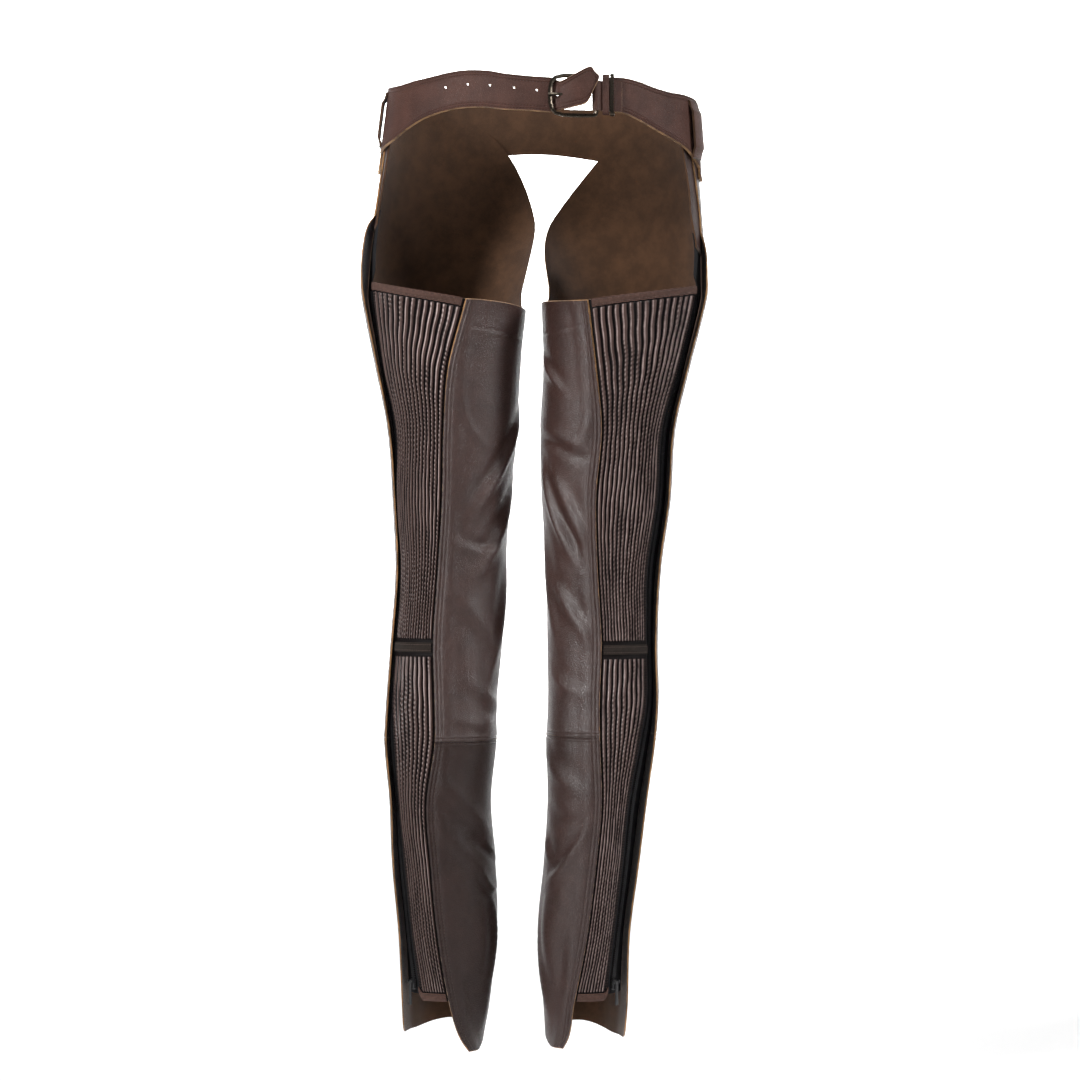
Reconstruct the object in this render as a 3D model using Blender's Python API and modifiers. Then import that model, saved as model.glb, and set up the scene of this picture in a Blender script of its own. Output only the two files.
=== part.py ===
"""Full-length leather riding chaps, zipped down the outer back of each leg and buckled behind.

Metres, +Z up. The garment's back faces -Y and the wearer's right is +X. The origin is the middle of
the waist opening at belt level. Sizes below are in millimetres and are turned into metres by MM.
"""
import math

import bmesh
import bpy
from mathutils import Vector

MM = 0.001

# Walls and layers, in mm. Every layer is counted outwards from the form that the chaps are cut to fit.
LEATHER = 1.5
BELT_LEATHER = 2.2
TAPE = 1.0
SEAM_GAP = 0.3
TAPE_LAYER = 0.0
PANEL_LAYER = 1.5
LAPPED_LAYER = 3.6
SEAM_LAP_LAYER = 3.9
BELT_LAYER = 5.9
BINDING_LAYER = 3.4
BINDING = 1.4

# Pleats of the stretch panels
PLEAT_HEIGHT = 1.9
UPPER_PLEATS = 15
LOWER_PLEATS = 9
PLEAT_FADE = 5.0
EDGE_MARGIN = 5.5
LAP_WIDTH = 9.0

# The hips: reach to each side and to the front or back at a height
HIP_COLUMNS = ("height", "left", "right", "depth")
HIP_ROWS = (
    (20.0, 157.0, 155.5, 113.0),
    (-56.0, 166.5, 161.0, 117.0),
    (-113.0, 174.5, 165.5, 119.0),
    (-168.0, 183.5, 169.0, 116.0),
    (-240.0, 187.0, 169.0, 108.0),
)

# Each leg: distances from the middle line, outwards. edge is the zip edge of the stretch panel, seam is
# the main back seam, flap is the free edge of the thigh and shin panels, turn is how far behind the side
# that free edge lies, in degrees. depth is half the leg's depth and forward is its middle along Y.
LEG_COLUMNS = ("height", "outer", "inner", "depth", "forward", "edge", "seam", "flap", "turn")
LEFT_ROWS = (
    (20.0, 160.0, 19.0, 84.0, 0.0, 150.0, 82.0, 150.0, 9.0),
    (-50.0, 163.0, 19.0, 86.0, 0.0, 158.0, 82.0, 150.0, 9.0),
    (-113.0, 174.0, 19.0, 88.0, 0.0, 171.5, 82.0, 150.0, 10.0),
    (-135.0, 178.0, 19.0, 88.0, 0.0, 175.0, 82.0, 184.0, 12.0),
    (-168.0, 184.5, 19.0, 88.0, 0.0, 179.5, 82.0, 194.0, 18.0),
    (-201.0, 187.0, 19.0, 88.0, 0.0, 180.0, 82.0, 195.0, 24.0),
    (-221.0, 187.5, 19.2, 88.0, 0.0, 178.7, 82.1, 192.8, 26.0),
    (-297.0, 174.0, 26.4, 80.0, 3.0, 168.2, 100.4, 178.2, 24.0),
    (-362.0, 161.5, 30.5, 73.0, 5.0, 155.1, 104.8, 165.8, 24.0),
    (-437.0, 157.5, 38.3, 67.0, 7.0, 154.3, 106.5, 160.5, 20.0),
    (-513.0, 154.0, 43.5, 63.0, 7.0, 150.0, 110.7, 157.5, 22.0),
    (-589.0, 158.5, 46.8, 61.0, 4.0, 154.5, 115.6, 163.0, 22.0),
    (-653.0, 163.0, 52.1, 60.0, -3.0, 158.5, 114.5, 167.4, 22.0),
    (-697.0, 164.0, 52.1, 60.0, -8.0, 156.6, 114.5, 169.0, 26.0),
    (-761.0, 158.0, 58.7, 60.0, -12.0, 151.7, 122.0, 163.1, 28.0),
    (-826.0, 154.5, 54.8, 57.0, -13.0, 145.4, 117.7, 160.9, 28.0),
    (-902.0, 147.0, 52.7, 52.0, -12.0, 137.5, 110.7, 154.4, 29.0),
    (-977.0, 142.5, 60.2, 49.0, -8.0, 127.4, 99.4, 151.2, 29.0),
    (-1010.0, 141.5, 66.0, 48.0, -7.0, 125.5, 91.0, 149.5, 29.0),
    (-1034.0, 141.0, 70.0, 48.0, -6.0, 124.0, 78.0, 148.0, 29.0),
)
RIGHT_ROWS = (
    (20.0, 155.0, 0.2, 84.0, 0.0, 130.0, 49.7, 130.0, 24.0),
    (-50.0, 160.0, 0.2, 86.0, 0.0, 142.5, 49.7, 130.0, 26.0),
    (-105.0, 165.5, 0.2, 88.0, 0.0, 153.5, 49.7, 130.0, 19.0),
    (-133.0, 167.5, 0.2, 88.0, 0.0, 156.0, 49.7, 160.0, 15.0),
    (-165.0, 169.0, 0.2, 88.0, 0.0, 162.0, 49.7, 174.5, 16.0),
    (-203.0, 169.5, 0.2, 88.0, 0.0, 161.0, 49.7, 176.5, 22.0),
    (-221.0, 169.2, 0.2, 88.0, 0.0, 159.8, 49.7, 175.0, 24.0),
    (-297.0, 151.0, 2.4, 80.0, 3.0, 142.0, 57.8, 155.8, 26.0),
    (-362.0, 136.0, 0.0, 73.0, 5.0, 124.7, 62.6, 140.9, 27.0),
    (-437.0, 131.0, 1.8, 67.0, 7.0, 119.9, 57.1, 136.1, 27.0),
    (-513.0, 120.5, 6.9, 63.0, 7.0, 109.1, 58.6, 125.8, 28.0),
    (-589.0, 117.5, 7.7, 61.0, 4.0, 108.0, 62.2, 122.0, 27.0),
    (-653.0, 118.0, 7.8, 60.0, -3.0, 108.0, 60.4, 123.1, 27.0),
    (-697.0, 113.0, 5.6, 60.0, -8.0, 100.8, 60.4, 119.9, 28.0),
    (-761.0, 103.0, 7.8, 60.0, -12.0, 89.0, 61.6, 110.7, 29.0),
    (-826.0, 95.0, 4.6, 57.0, -13.0, 82.4, 55.6, 102.6, 29.0),
    (-902.0, 85.5, -2.5, 52.0, -12.0, 73.4, 46.4, 92.9, 29.0),
    (-977.0, 82.0, 2.9, 49.0, -8.0, 64.8, 34.0, 90.7, 29.0),
    (-1010.0, 79.5, 5.0, 48.0, -7.0, 63.0, 29.5, 88.0, 29.0),
    (-1034.0, 78.5, 6.0, 48.0, -6.0, 61.6, 18.0, 85.5, 29.0),
)

# Heights of each leg's edges and seams
LEVEL_COLUMNS = ("side", "waist", "zip_corner", "seat", "crotch", "strip_end", "cross_band", "knee",
                 "foot", "flap_hem", "front_hem", "inner_hem", "tip")
LEVEL_ROWS = (
    (-1, -24.0, -205.5, -225.5, -232.0, -142.0, -595.0, -694.0, -971.0, -1009.0, -1001.0, -1018.0, -1027.0),
    (1, -32.0, -210.0, -226.5, -224.0, -168.0, -597.5, -689.0, -971.0, -1015.0, -1004.0, -1014.0, -1023.0),
)

HIP_BLEND = (-245.0, -125.0)
INNER_LEG_BLEND = (96.0, 176.0)
CLUSTER = 0.42
HIP_LIFT_BLEND = (-232.0, -185.0)
FRONT_FALL = (84.0, 166.0)
ZIP_SIDE_BLEND = (15.0, 40.0)
FLARE_START = 12.0
FLARE_POWER = 1.6
TAPE_END = 8.0
CHAIN_OFFSET = 8.0
CHAIN_WIDTH = 6.0
CHAIN_LAYER = 1.3
CHAIN_THICK = 2.2
BAND_HEIGHT = 10.0
BINDING_HEIGHT = 8.5

# The belt at a turn about the waist: -90 is the middle of the back, 0 the wearer's right side
BELT_COLUMNS = ("turn", "top", "bottom")
LEFT_STRAP_ROWS = (
    (-181.0, 6.0, -64.0),
    (-170.0, 5.0, -61.0),
    (-156.0, 4.0, -54.0),
    (-145.0, 6.4, -43.0),
    (-136.0, 8.5, -34.5),
    (-122.6, 13.0, -27.6),
    (-111.6, 12.3, -27.0),
    (-104.0, 8.5, -29.7),
    (-96.4, 5.8, -31.0),
    (-87.0, 3.8, -33.0),
)
RIGHT_WING_ROWS = (
    (-67.0, 4.6, -31.6),
    (-58.6, 5.4, -32.6),
    (-52.0, 2.7, -38.8),
    (-43.8, -2.6, -48.0),
    (-35.6, -5.5, -55.5),
    (-25.4, -6.0, -64.0),
    (-10.1, -7.5, -82.0),
)
FRONT_BAND_ROWS = (
    (-9.9, -7.5, -93.0),
    (5.0, -8.0, -94.0),
    (35.0, -8.0, -84.0),
    (65.0, -4.0, -62.0),
    (90.0, -1.0, -52.0),
    (115.0, 3.0, -58.0),
    (145.0, 6.0, -76.0),
    (178.8, 6.0, -86.0),
)

# The strap's tip, folded back over the buckle: foot and head of each station across the strap
TIP_COLUMNS = ("foot_x", "foot_z", "head_x", "head_z", "out")
TIP_ROWS = (
    (12.6, -32.6, 12.6, 3.0, 5.9),
    (16.4, -31.4, 16.0, 0.6, 7.4),
    (21.4, -30.6, 20.0, 0.2, 10.4),
    (33.0, -28.0, 33.0, 6.6, 14.6),
    (47.0, -23.3, 50.1, 15.0, 16.3),
    (54.4, -9.4, 56.0, 10.0, 16.5),
    (60.4, 2.6, 60.8, 5.4, 16.5),
)

HOLE_SPOTS = ((-103.0, -3.5), (-79.5, -1.5), (-56.0, -3.5), (-30.3, -6.5), (-6.3, -9.5))
HOLE_RADIUS = 1.9
PRONG_SLOT = (13.2, 29.0)
PRONG_SLOT_HEIGHT = 5.0
PRONG_HEIGHT = -14.5
PRONG_RADIUS = 1.5
PRONG_PATH = ((51.6, 10.6), (38.0, 10.2), (29.0, 10.0), (22.0, 11.4), (15.0, 14.3), (9.0, 15.0), (5.4, 14.8))

BUCKLE_RADIUS = 2.2
BUCKLE_OUT = 10.7
BUCKLE_OUTLINE = (
    (57.0, 1.8), (56.3, 4.3), (53.5, 5.6), (38.0, 5.8), (22.0, 5.4), (13.5, 3.6), (9.4, -0.6), (7.6, -7.0),
    (7.2, -15.0), (7.6, -23.0), (9.4, -29.6), (13.5, -34.0), (22.0, -36.0), (38.0, -36.4), (53.5, -36.0),
    (56.3, -34.6), (57.0, -32.0), (57.0, -15.0),
)
BUCKLE_BAR_X = 57.0
CHAPE_FOLD = 3.9
CHAPE_TOP_RUN = ((84.0, 9.4), (76.0, 9.4), (67.0, 9.4), (62.7, 9.9))
CHAPE_END = (61.6, 6.9)
CHAPE_HEIGHTS = (-30.8, 0.6)
CHAPE_LEATHER = 1.8

# Keepers round the belt beside the buckle: span along X, heights, and reach outwards
LEATHER_KEEPER = {"span": (63.4, 70.4), "heights": (-33.2, 6.4), "reach": (4.4, 11.6), "wall": 1.6}
METAL_KEEPER = {"span": (71.6, 75.6), "heights": (-33.8, 7.0), "reach": (4.2, 11.8), "wall": 2.0}

# Standing loops on the hips
HIP_LOOPS = {
    "left": {"turns": (-186.5, -173.5), "heights": (-58.0, 2.0)},
    "right": {"turns": (-20.5, -7.0), "heights": (-73.0, -10.5)},
}
LOOP_WALL = 2.0
LOOP_STAND = 3.4

# Slider and pull tab of each zip
SLIDER_SIZE = (8.0, 4.6, 11.0)
SLIDER_HEIGHT = -955.0
SLIDER_LAYER = 2.0
PULL_SIZE = (4.6, 1.5, 26.0)
PIN_RADIUS = 0.9
EAR_SIZE = (1.3, 2.6, 3.6)

MATERIALS = {
    "brown_leather": ((0.082, 0.044, 0.036), 0.42, 0.0),
    "pleated_leather": ((0.12, 0.072, 0.064), 0.5, 0.0),
    "knit_binding": ((0.075, 0.042, 0.032), 0.8, 0.0),
    "black_tape": ((0.008, 0.008, 0.009), 0.75, 0.0),
    "black_zip": ((0.012, 0.012, 0.013), 0.4, 0.0),
    "dark_bronze": ((0.11, 0.09, 0.065), 0.32, 1.0),
}


def clear_scene():
    for thing in list(bpy.data.objects):
        bpy.data.objects.remove(thing, do_unlink=True)


def make_collection(name):
    group = bpy.data.collections.new(name)
    bpy.context.scene.collection.children.link(group)
    return group


def make_material(name):
    colour, roughness, metallic = MATERIALS[name]
    material = bpy.data.materials.new(name)
    material.use_nodes = True
    shader = material.node_tree.nodes["Principled BSDF"]
    shader.inputs["Base Color"].default_value = (*colour, 1.0)
    shader.inputs["Roughness"].default_value = roughness
    shader.inputs["Metallic"].default_value = metallic
    return material


def ramp(low, high, value):
    """0 at low, 1 at high, eased between."""
    share = min(max((value - low) / (high - low), 0.0), 1.0)
    return share * share * (3.0 - 2.0 * share)


def mix(start, end, share):
    return start + (end - start) * share


def column(names, rows, name, key):
    """The named column at a value of the first column, on a smooth curve through the rows."""
    ordered = sorted(rows)
    place = names.index(name)
    keys = [row[0] for row in ordered]
    values = [row[place] for row in ordered]
    key = min(max(key, keys[0]), keys[-1])
    left = max(i for i in range(len(keys) - 1) if keys[i] <= key)
    right = left + 1
    span = keys[right] - keys[left]

    def slope(i):
        before, after = max(i - 1, 0), min(i + 1, len(keys) - 1)
        return (values[after] - values[before]) / (keys[after] - keys[before])

    t = (key - keys[left]) / span
    return ((2 * t**3 - 3 * t**2 + 1) * values[left] + (t**3 - 2 * t**2 + t) * span * slope(left)
            + (3 * t**2 - 2 * t**3) * values[right] + (t**3 - t**2) * span * slope(right))


def hip(name, height):
    return column(HIP_COLUMNS, HIP_ROWS, name, height)


def hip_axes(height):
    """Middle along X, half width and half depth of the hips."""
    left, right = hip("left", height), hip("right", height)
    return (right - left) / 2, (right + left) / 2, hip("depth", height)


def hip_point(turn, height, out):
    """A point round the waist, out from the hips' form, in metres."""
    middle, half, depth = hip_axes(height)
    angle = math.radians(turn)
    normal = Vector((math.cos(angle) / half, math.sin(angle) / depth)).normalized()
    x = middle + half * math.cos(angle) + normal.x * out
    y = depth * math.sin(angle) + normal.y * out
    return Vector((x, y, height)) * MM


def back_point(x, height, out):
    """A point of the back at a given X, out from the hips' form."""
    middle, half, _ = hip_axes(height)
    return hip_point(-math.degrees(math.acos((x - middle) / (half + out))), height, out)


class Leg:
    """One leg of the chaps: its form, and the angles and heights of its edges."""

    def __init__(self, side, rows):
        self.side = side
        self.rows = rows
        self.name = "right" if side > 0 else "left"
        levels = next(row for row in LEVEL_ROWS if row[0] == side)
        self.level = dict(zip(LEVEL_COLUMNS, levels))

    def at(self, name, height):
        return column(LEG_COLUMNS, self.rows, name, height)

    def axes(self, height):
        outer, inner = self.at("outer", height), self.at("inner", height)
        return (outer + inner) / 2, (outer - inner) / 2, self.at("depth", height), self.at("forward", height)

    def form(self, angle, height):
        """Outward and forward distance of the leg's form; 0 is the outer side, 90 the front."""
        middle, half, depth, forward = self.axes(height)
        cosine, sine = math.cos(math.radians(angle)), math.sin(math.radians(angle))
        tube = Vector((middle + half * cosine, forward + depth * sine))
        turned = abs((angle + 180.0) % 360.0 - 180.0)
        share = ramp(*HIP_BLEND, height) * (1.0 - ramp(*INNER_LEG_BLEND, turned))
        if share == 0.0:
            return tube
        hip_middle, hip_half, hip_depth = hip_axes(height)
        start = middle - self.side * hip_middle
        square = (cosine / hip_half) ** 2 + (sine / hip_depth) ** 2
        cross = start * cosine / hip_half**2 + forward * sine / hip_depth**2
        rest = (start / hip_half) ** 2 + (forward / hip_depth) ** 2 - 1.0
        reach = (-cross + math.sqrt(cross**2 - square * rest)) / square
        return tube.lerp(Vector((middle + reach * cosine, forward + reach * sine)), share)

    def point(self, angle, height, out):
        """A point out from the leg's form, in metres."""
        spot = self.form(angle, height)
        along = self.form(angle + 0.5, height) - self.form(angle - 0.5, height)
        normal = Vector((along.y, -along.x)).normalized()
        return Vector((self.side * (spot.x + normal.x * out), spot.y + normal.y * out, height)) * MM

    def centre(self, height):
        middle, _, _, forward = self.axes(height)
        return Vector((self.side * middle, forward, height)) * MM

    def rear_angle(self, name, height):
        """The angle, behind the outer side, where the rear of the leg is at the named distance."""
        middle, half, _, _ = self.axes(height)
        share = (self.at(name, height) - middle) / half
        return -math.degrees(math.acos(min(max(share, -0.98), 0.995)))

    def degrees(self, length, height):
        """The turn that a length takes round the leg."""
        _, half, depth, _ = self.axes(height)
        return math.degrees(length / ((half + depth) / 2))

    def flap_flare(self, height):
        """How far the free edge stands off the leg."""
        turn = -self.at("turn", height)
        spot = self.form(turn, height)
        return max(self.at("flap", height) - spot.x - LAPPED_LAYER - LEATHER, 0.0) / math.cos(math.radians(turn))

    def flare(self, angle, height):
        turn = -self.at("turn", height)
        share = min(max((FLARE_START - angle) / (FLARE_START - turn), 0.0), 1.0)
        return self.flap_flare(height) * share**FLARE_POWER

    def panel_layer(self, angle, height):
        """Inner face of the smooth panels: lapped over the stretch panel and over the hip strip."""
        seam = 360.0 + self.rear_angle("seam", height)
        lap = ramp(seam - self.degrees(26.0, height), seam - self.degrees(12.0, height), angle)
        hip_lift = ramp(*HIP_LIFT_BLEND, height)
        over_zip = 1.0 - ramp(*ZIP_SIDE_BLEND, angle)
        lapped = mix(PANEL_LAYER, SEAM_LAP_LAYER, lap)
        return max(lapped, mix(PANEL_LAYER, LAPPED_LAYER, max(hip_lift, over_zip)))

    def panel_angle(self, share, height):
        """Angle of the smooth panels' columns, from the free edge at 0 to the back seam at 1."""
        return mix(-self.at("turn", height), 360.0 + self.rear_angle("seam", height), share)

    def panel_point(self, share, height, extra=0.0):
        angle = self.panel_angle(share, height)
        return self.point(angle, height, self.panel_layer(angle, height) + self.flare(angle, height) + extra)

    def shared_levels(self):
        """Heights that all pieces share, so that layered walls keep their gap: thigh, knee and shin."""
        fade = BINDING_HEIGHT + PLEAT_FADE
        band, knee = self.level["cross_band"], self.level["knee"]
        thigh = [mix(self.level["seat"] - fade, band + fade, step) for step in even(8)]
        below_band = [mix(band - fade, knee, step) for step in even(2)]
        shin = [mix(knee, self.level["foot"] + fade, step) for step in even(6)][1:]
        around_band = [band + BINDING_HEIGHT, band, band - BINDING_HEIGHT]
        return thigh, around_band, below_band, shin

    def panel_top(self, share):
        """Upper edge of the thigh panel: under the waistband, down the front, then round the seat."""
        level = self.level
        nominal = mix(-26.0, 255.0, share)
        behind = mix(level["crotch"], level["seat"], ramp(180.0, 255.0, nominal))
        return mix(level["waist"], behind, ramp(*FRONT_FALL, nominal))

    def hem(self, share):
        """Lower edge of the shin panel, with the rounded flap corner and the pointed back corner."""
        level = self.level
        nominal = mix(-29.0, 240.0, share)
        flap = mix(level["flap_hem"] + 9.0, level["flap_hem"], ramp(-29.0, -12.0, nominal))
        front = mix(flap, level["front_hem"], ramp(20.0, 90.0, nominal))
        inner = mix(front, level["inner_hem"], ramp(110.0, 175.0, nominal))
        return mix(inner, level["tip"], ramp(175.0, 215.0, nominal))


def clustered(count):
    """Shares from 0 to 1, closer together at both ends."""
    return [k / count - CLUSTER * math.sin(2 * math.pi * k / count) / (2 * math.pi) for k in range(count + 1)]


def even(count):
    return [k / count for k in range(count + 1)]


def add_object(name, mesh, group, material):
    thing = bpy.data.objects.new(name, mesh)
    group.objects.link(thing)
    mesh.materials.append(material)
    return thing


def finish_mesh(shape, name, smooth=True):
    mesh = bpy.data.meshes.new(name)
    shape.to_mesh(mesh)
    shape.free()
    if smooth:
        mesh.shade_smooth()
        mesh.set_sharp_from_angle(angle=math.radians(40))
    return mesh


def sheet(name, rows, wall, inside, group, material, closed=False):
    """A wall from its inner face, a grid of points, thickened outwards with Solidify."""
    shape = bmesh.new()
    grid = [[shape.verts.new(point) for point in row] for row in rows]
    width = len(grid[0])
    for upper, lower in zip(grid, grid[1:]):
        for k in range(width if closed else width - 1):
            shape.faces.new((upper[k], upper[(k + 1) % width], lower[(k + 1) % width], lower[k]))
    shape.normal_update()
    shape.faces.ensure_lookup_table()
    middle = shape.faces[len(shape.faces) // 2]
    if middle.normal.dot(middle.calc_center_median() - inside) < 0:
        bmesh.ops.reverse_faces(shape, faces=shape.faces)
    thing = add_object(name, finish_mesh(shape, name), group, material)
    solidify = thing.modifiers.new("wall", "SOLIDIFY")
    solidify.thickness = wall * MM
    solidify.offset = 1.0
    return thing


def wall_between(name, outer, inner, group, material):
    """A closed wall between an outer grid and a plainer inner one. Both have the same rows, and the
    outer grid has a whole number of columns for each inner one."""
    shape = bmesh.new()
    skin = [[shape.verts.new(point) for point in row] for row in outer]
    lining = [[shape.verts.new(point) for point in row] for row in inner]
    fold = (len(skin[0]) - 1) // (len(lining[0]) - 1)
    for grid in (skin, lining):
        for upper, lower in zip(grid, grid[1:]):
            for k in range(len(upper) - 1):
                shape.faces.new((upper[k], upper[k + 1], lower[k + 1], lower[k]))
    for row in (0, -1):
        for k in range(len(lining[0]) - 1):
            rim = skin[row][k * fold:(k + 1) * fold + 1]
            hub = lining[row][k]
            for first, second in zip(rim, rim[1:]):
                shape.faces.new((hub, first, second))
            shape.faces.new((hub, rim[-1], lining[row][k + 1]))
    for end in (0, -1):
        for k in range(len(skin) - 1):
            shape.faces.new((skin[k][end], skin[k + 1][end], lining[k + 1][end], lining[k][end]))
    bmesh.ops.recalc_face_normals(shape, faces=shape.faces)
    return add_object(name, finish_mesh(shape, name), group, material)


def smooth_panels(leg, group, leather):
    """Thigh and shin panels: one wrap round the leg, cut across at the knee seam."""
    columns = clustered(26)
    seat, knee, foot, tip = (leg.level[name] for name in ("seat", "knee", "foot", "tip"))
    thigh, around_band, below_band, shin = leg.shared_levels()
    thigh_levels = [seat, seat - BINDING_HEIGHT, *thigh, *around_band, *below_band]
    shin_levels = [knee, *shin, foot + BINDING_HEIGHT, foot, tip]
    spans = (
        ("thigh_panel", leg.panel_top, lambda share: knee, thigh_levels),
        ("shin_panel", lambda share: knee - SEAM_GAP, leg.hem, shin_levels),
    )
    for title, top, bottom, levels in spans:
        rows = []
        for level in levels:
            step = (levels[0] - level) / (levels[0] - levels[-1])
            rows.append([leg.panel_point(share, mix(top(share), bottom(share), step)) for share in columns])
        sheet(f"{title}_{leg.name}", rows, LEATHER, leg.centre(knee), group, leather)


def stretch_angle(leg, share, height):
    """Columns of the stretch panels: a plain margin at the zip, the pleats, and the lap under the seam."""
    edge, seam = leg.rear_angle("edge", height), leg.rear_angle("seam", height)
    pleats = (edge - leg.degrees(EDGE_MARGIN, height), seam + leg.degrees(1.5, height))
    if share <= 0.0:
        return mix(pleats[0], edge, -share)
    if share <= 1.0:
        return mix(*pleats, share)
    return mix(pleats[1], seam - leg.degrees(LAP_WIDTH, height), share - 1.0)


def stretch_panel(leg, title, pleats, levels, group, material):
    """A pleated wall: three outer points to a pleat over a plain inside. levels gives the heights of a
    column, where the first and last two rows lie flat under the bindings."""
    shares = [-1.0] + [k / pleats for k in range(pleats + 1)] + [2.0]
    outer, inner = [], []
    for row in range(len(levels(0.0))):
        flat = row < 2 or row >= len(levels(0.0)) - 2
        skin, lining = [], []
        for share, following in zip(shares, [*shares[1:], shares[-1]]):
            height = levels(share)[row]
            lining.append(leg.point(stretch_angle(leg, share, height), height, PANEL_LAYER))
            for third in (0.0, 0.34, 0.72) if following != share else (0.0,):
                between = mix(share, following, third)
                height = levels(between)[row]
                raised = 0.0 if flat or third == 0.0 or not 0.0 <= between <= 1.0 else PLEAT_HEIGHT
                angle = stretch_angle(leg, between, height)
                skin.append(leg.point(angle, height, PANEL_LAYER + LEATHER + raised))
        outer.append(skin)
        inner.append(lining)
    return wall_between(f"{title}_{leg.name}", outer, inner, group, material)


def seat_edge(leg, share):
    """Upper edge of the upper stretch panel, falling from the zip corner to the back seam."""
    return mix(leg.level["zip_corner"], leg.level["seat"], min(max(share, 0.0), 1.0))


def foot_edge(leg, share):
    """Lower edge of the lower stretch panel, with its rounded corner at the zip."""
    return leg.level["foot"] + (6.0 if share < 0.0 else 0.0)


def stretch_panels(leg, group, pleated, knit):
    band = leg.level["cross_band"]
    thigh, around_band, below_band, shin = leg.shared_levels()

    def upper_levels(share):
        top = seat_edge(leg, share)
        return [top, top - BINDING_HEIGHT, *thigh, around_band[0], band]

    def lower_levels(share):
        foot = foot_edge(leg, share)
        return [band - SEAM_GAP, around_band[2], *below_band, *shin, foot + BINDING_HEIGHT, foot]

    stretch_panel(leg, "stretch_upper", UPPER_PLEATS, upper_levels, group, pleated)
    stretch_panel(leg, "stretch_lower", LOWER_PLEATS, lower_levels, group, pleated)
    strips = (
        ("top_binding", UPPER_PLEATS, lambda share: seat_edge(leg, share) + 0.6,
         lambda share: seat_edge(leg, share) - BINDING_HEIGHT + 0.6),
        ("cross_band", LOWER_PLEATS, lambda share: band + BAND_HEIGHT / 2, lambda share: band - BAND_HEIGHT / 2),
        ("bottom_binding", LOWER_PLEATS, lambda share: foot_edge(leg, share) + BINDING_HEIGHT - 0.6,
         lambda share: foot_edge(leg, share) - 0.6),
    )
    for title, pleats, top, bottom in strips:
        shares = [-1.0] + [k / pleats for k in range(pleats)] + [0.985]
        rows = []
        for step in (0.0, 1.0):
            row = []
            for share in shares:
                height = mix(top(share), bottom(share), step)
                row.append(leg.point(stretch_angle(leg, share, height), height, BINDING_LAYER))
            rows.append(row)
        sheet(f"{title}_{leg.name}", rows, BINDING, leg.centre(band), group, knit)


def chain_angle(leg, height):
    return leg.rear_angle("edge", height) + leg.degrees(CHAIN_OFFSET, height)


def hip_strip(leg, group, leather):
    """The tongue between the waistband and the top of the zip, under the thigh panel's edge."""
    rows = []
    top, end = leg.level["waist"], leg.level["strip_end"]
    for step in even(6):
        row = []
        for share in even(4):
            height = mix(top, end - 8.0 * share, step)
            start = leg.rear_angle("edge", height)
            finish = -leg.at("turn", height) + leg.degrees(12.0, height)
            row.append(leg.point(mix(start, max(finish, start + 3.0), share), height, PANEL_LAYER))
        rows.append(row)
    sheet(f"hip_strip_{leg.name}", rows, LEATHER, leg.centre(end), group, leather)


def zip_levels(leg):
    """Shared heights along the zip, from the corner of the stretch panel to just above its foot."""
    thigh, around_band, below_band, shin = leg.shared_levels()
    corner = leg.level["zip_corner"]
    return [corner - BINDING_HEIGHT, *thigh, *around_band, *below_band, *shin]


def zip_tapes(leg, group, black):
    """Two tapes: one sewn inside the flap, one under the edge of the stretch panel."""
    corner, foot = leg.level["zip_corner"], leg.level["foot"] + 6.0
    rows = []
    above = [mix(leg.level["strip_end"] + 16.0, corner, step) for step in even(3)]
    for height in [*above, *zip_levels(leg), foot]:
        border = leg.rear_angle("edge", height)
        inside = leg.degrees(CHAIN_OFFSET + SEAM_GAP, height) * ramp(corner + 14.0, corner + 2.0, height)
        row = [leg.point(mix(border + inside, TAPE_END, share), height, TAPE_LAYER) for share in even(4)]
        rows.append(row)
    sheet(f"zip_tape_flap_{leg.name}", rows, TAPE, leg.centre(corner), group, black)
    rows = []
    for height in [corner, *zip_levels(leg), foot]:
        border = chain_angle(leg, height) - leg.degrees(SEAM_GAP, height)
        start = leg.rear_angle("edge", height) - leg.degrees(7.0, height)
        rows.append([leg.point(mix(start, border, share), height, TAPE_LAYER) for share in even(2)])
    sheet(f"zip_tape_stretch_{leg.name}", rows, TAPE, leg.centre(corner), group, black)


def zip_chain(leg, group, black):
    """The closed chain, over the meeting edges of the two tapes."""
    bottom = SLIDER_HEIGHT + SLIDER_SIZE[2] / 2 + SEAM_GAP
    rows = []
    for height in [*(level for level in zip_levels(leg) if level > bottom), bottom]:
        turn = leg.degrees(CHAIN_WIDTH / 2, height)
        middle = chain_angle(leg, height)
        rows.append([leg.point(middle + turn * side, height, CHAIN_LAYER) for side in (-1, 0, 1)])
    sheet(f"zip_chain_{leg.name}", rows, CHAIN_THICK, leg.centre(bottom), group, black)


def block(shape, size, centre):
    """A box of a size in mm about a centre in mm."""
    made = bmesh.ops.create_cube(shape, size=1.0)["verts"]
    bmesh.ops.scale(shape, vec=Vector(size) * MM, verts=made)
    bmesh.ops.translate(shape, vec=Vector(centre) * MM, verts=made)


def union_of(pieces, name, group, material, spare):
    """One body from box and rod pieces, joined with Boolean unions."""
    things = []
    for index, shape in enumerate(pieces):
        target = group if index == 0 else spare
        label = name if index == 0 else f"{name}_tool_{index}"
        things.append(add_object(label, finish_mesh(shape, label, smooth=False), target, material))
    for tool in things[1:]:
        tool.hide_render = True
        tool.display_type = "WIRE"
        tool.parent = things[0]
        join = things[0].modifiers.new("union", "BOOLEAN")
        join.operation = "UNION"
        join.object = tool
    return things[0]


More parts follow.
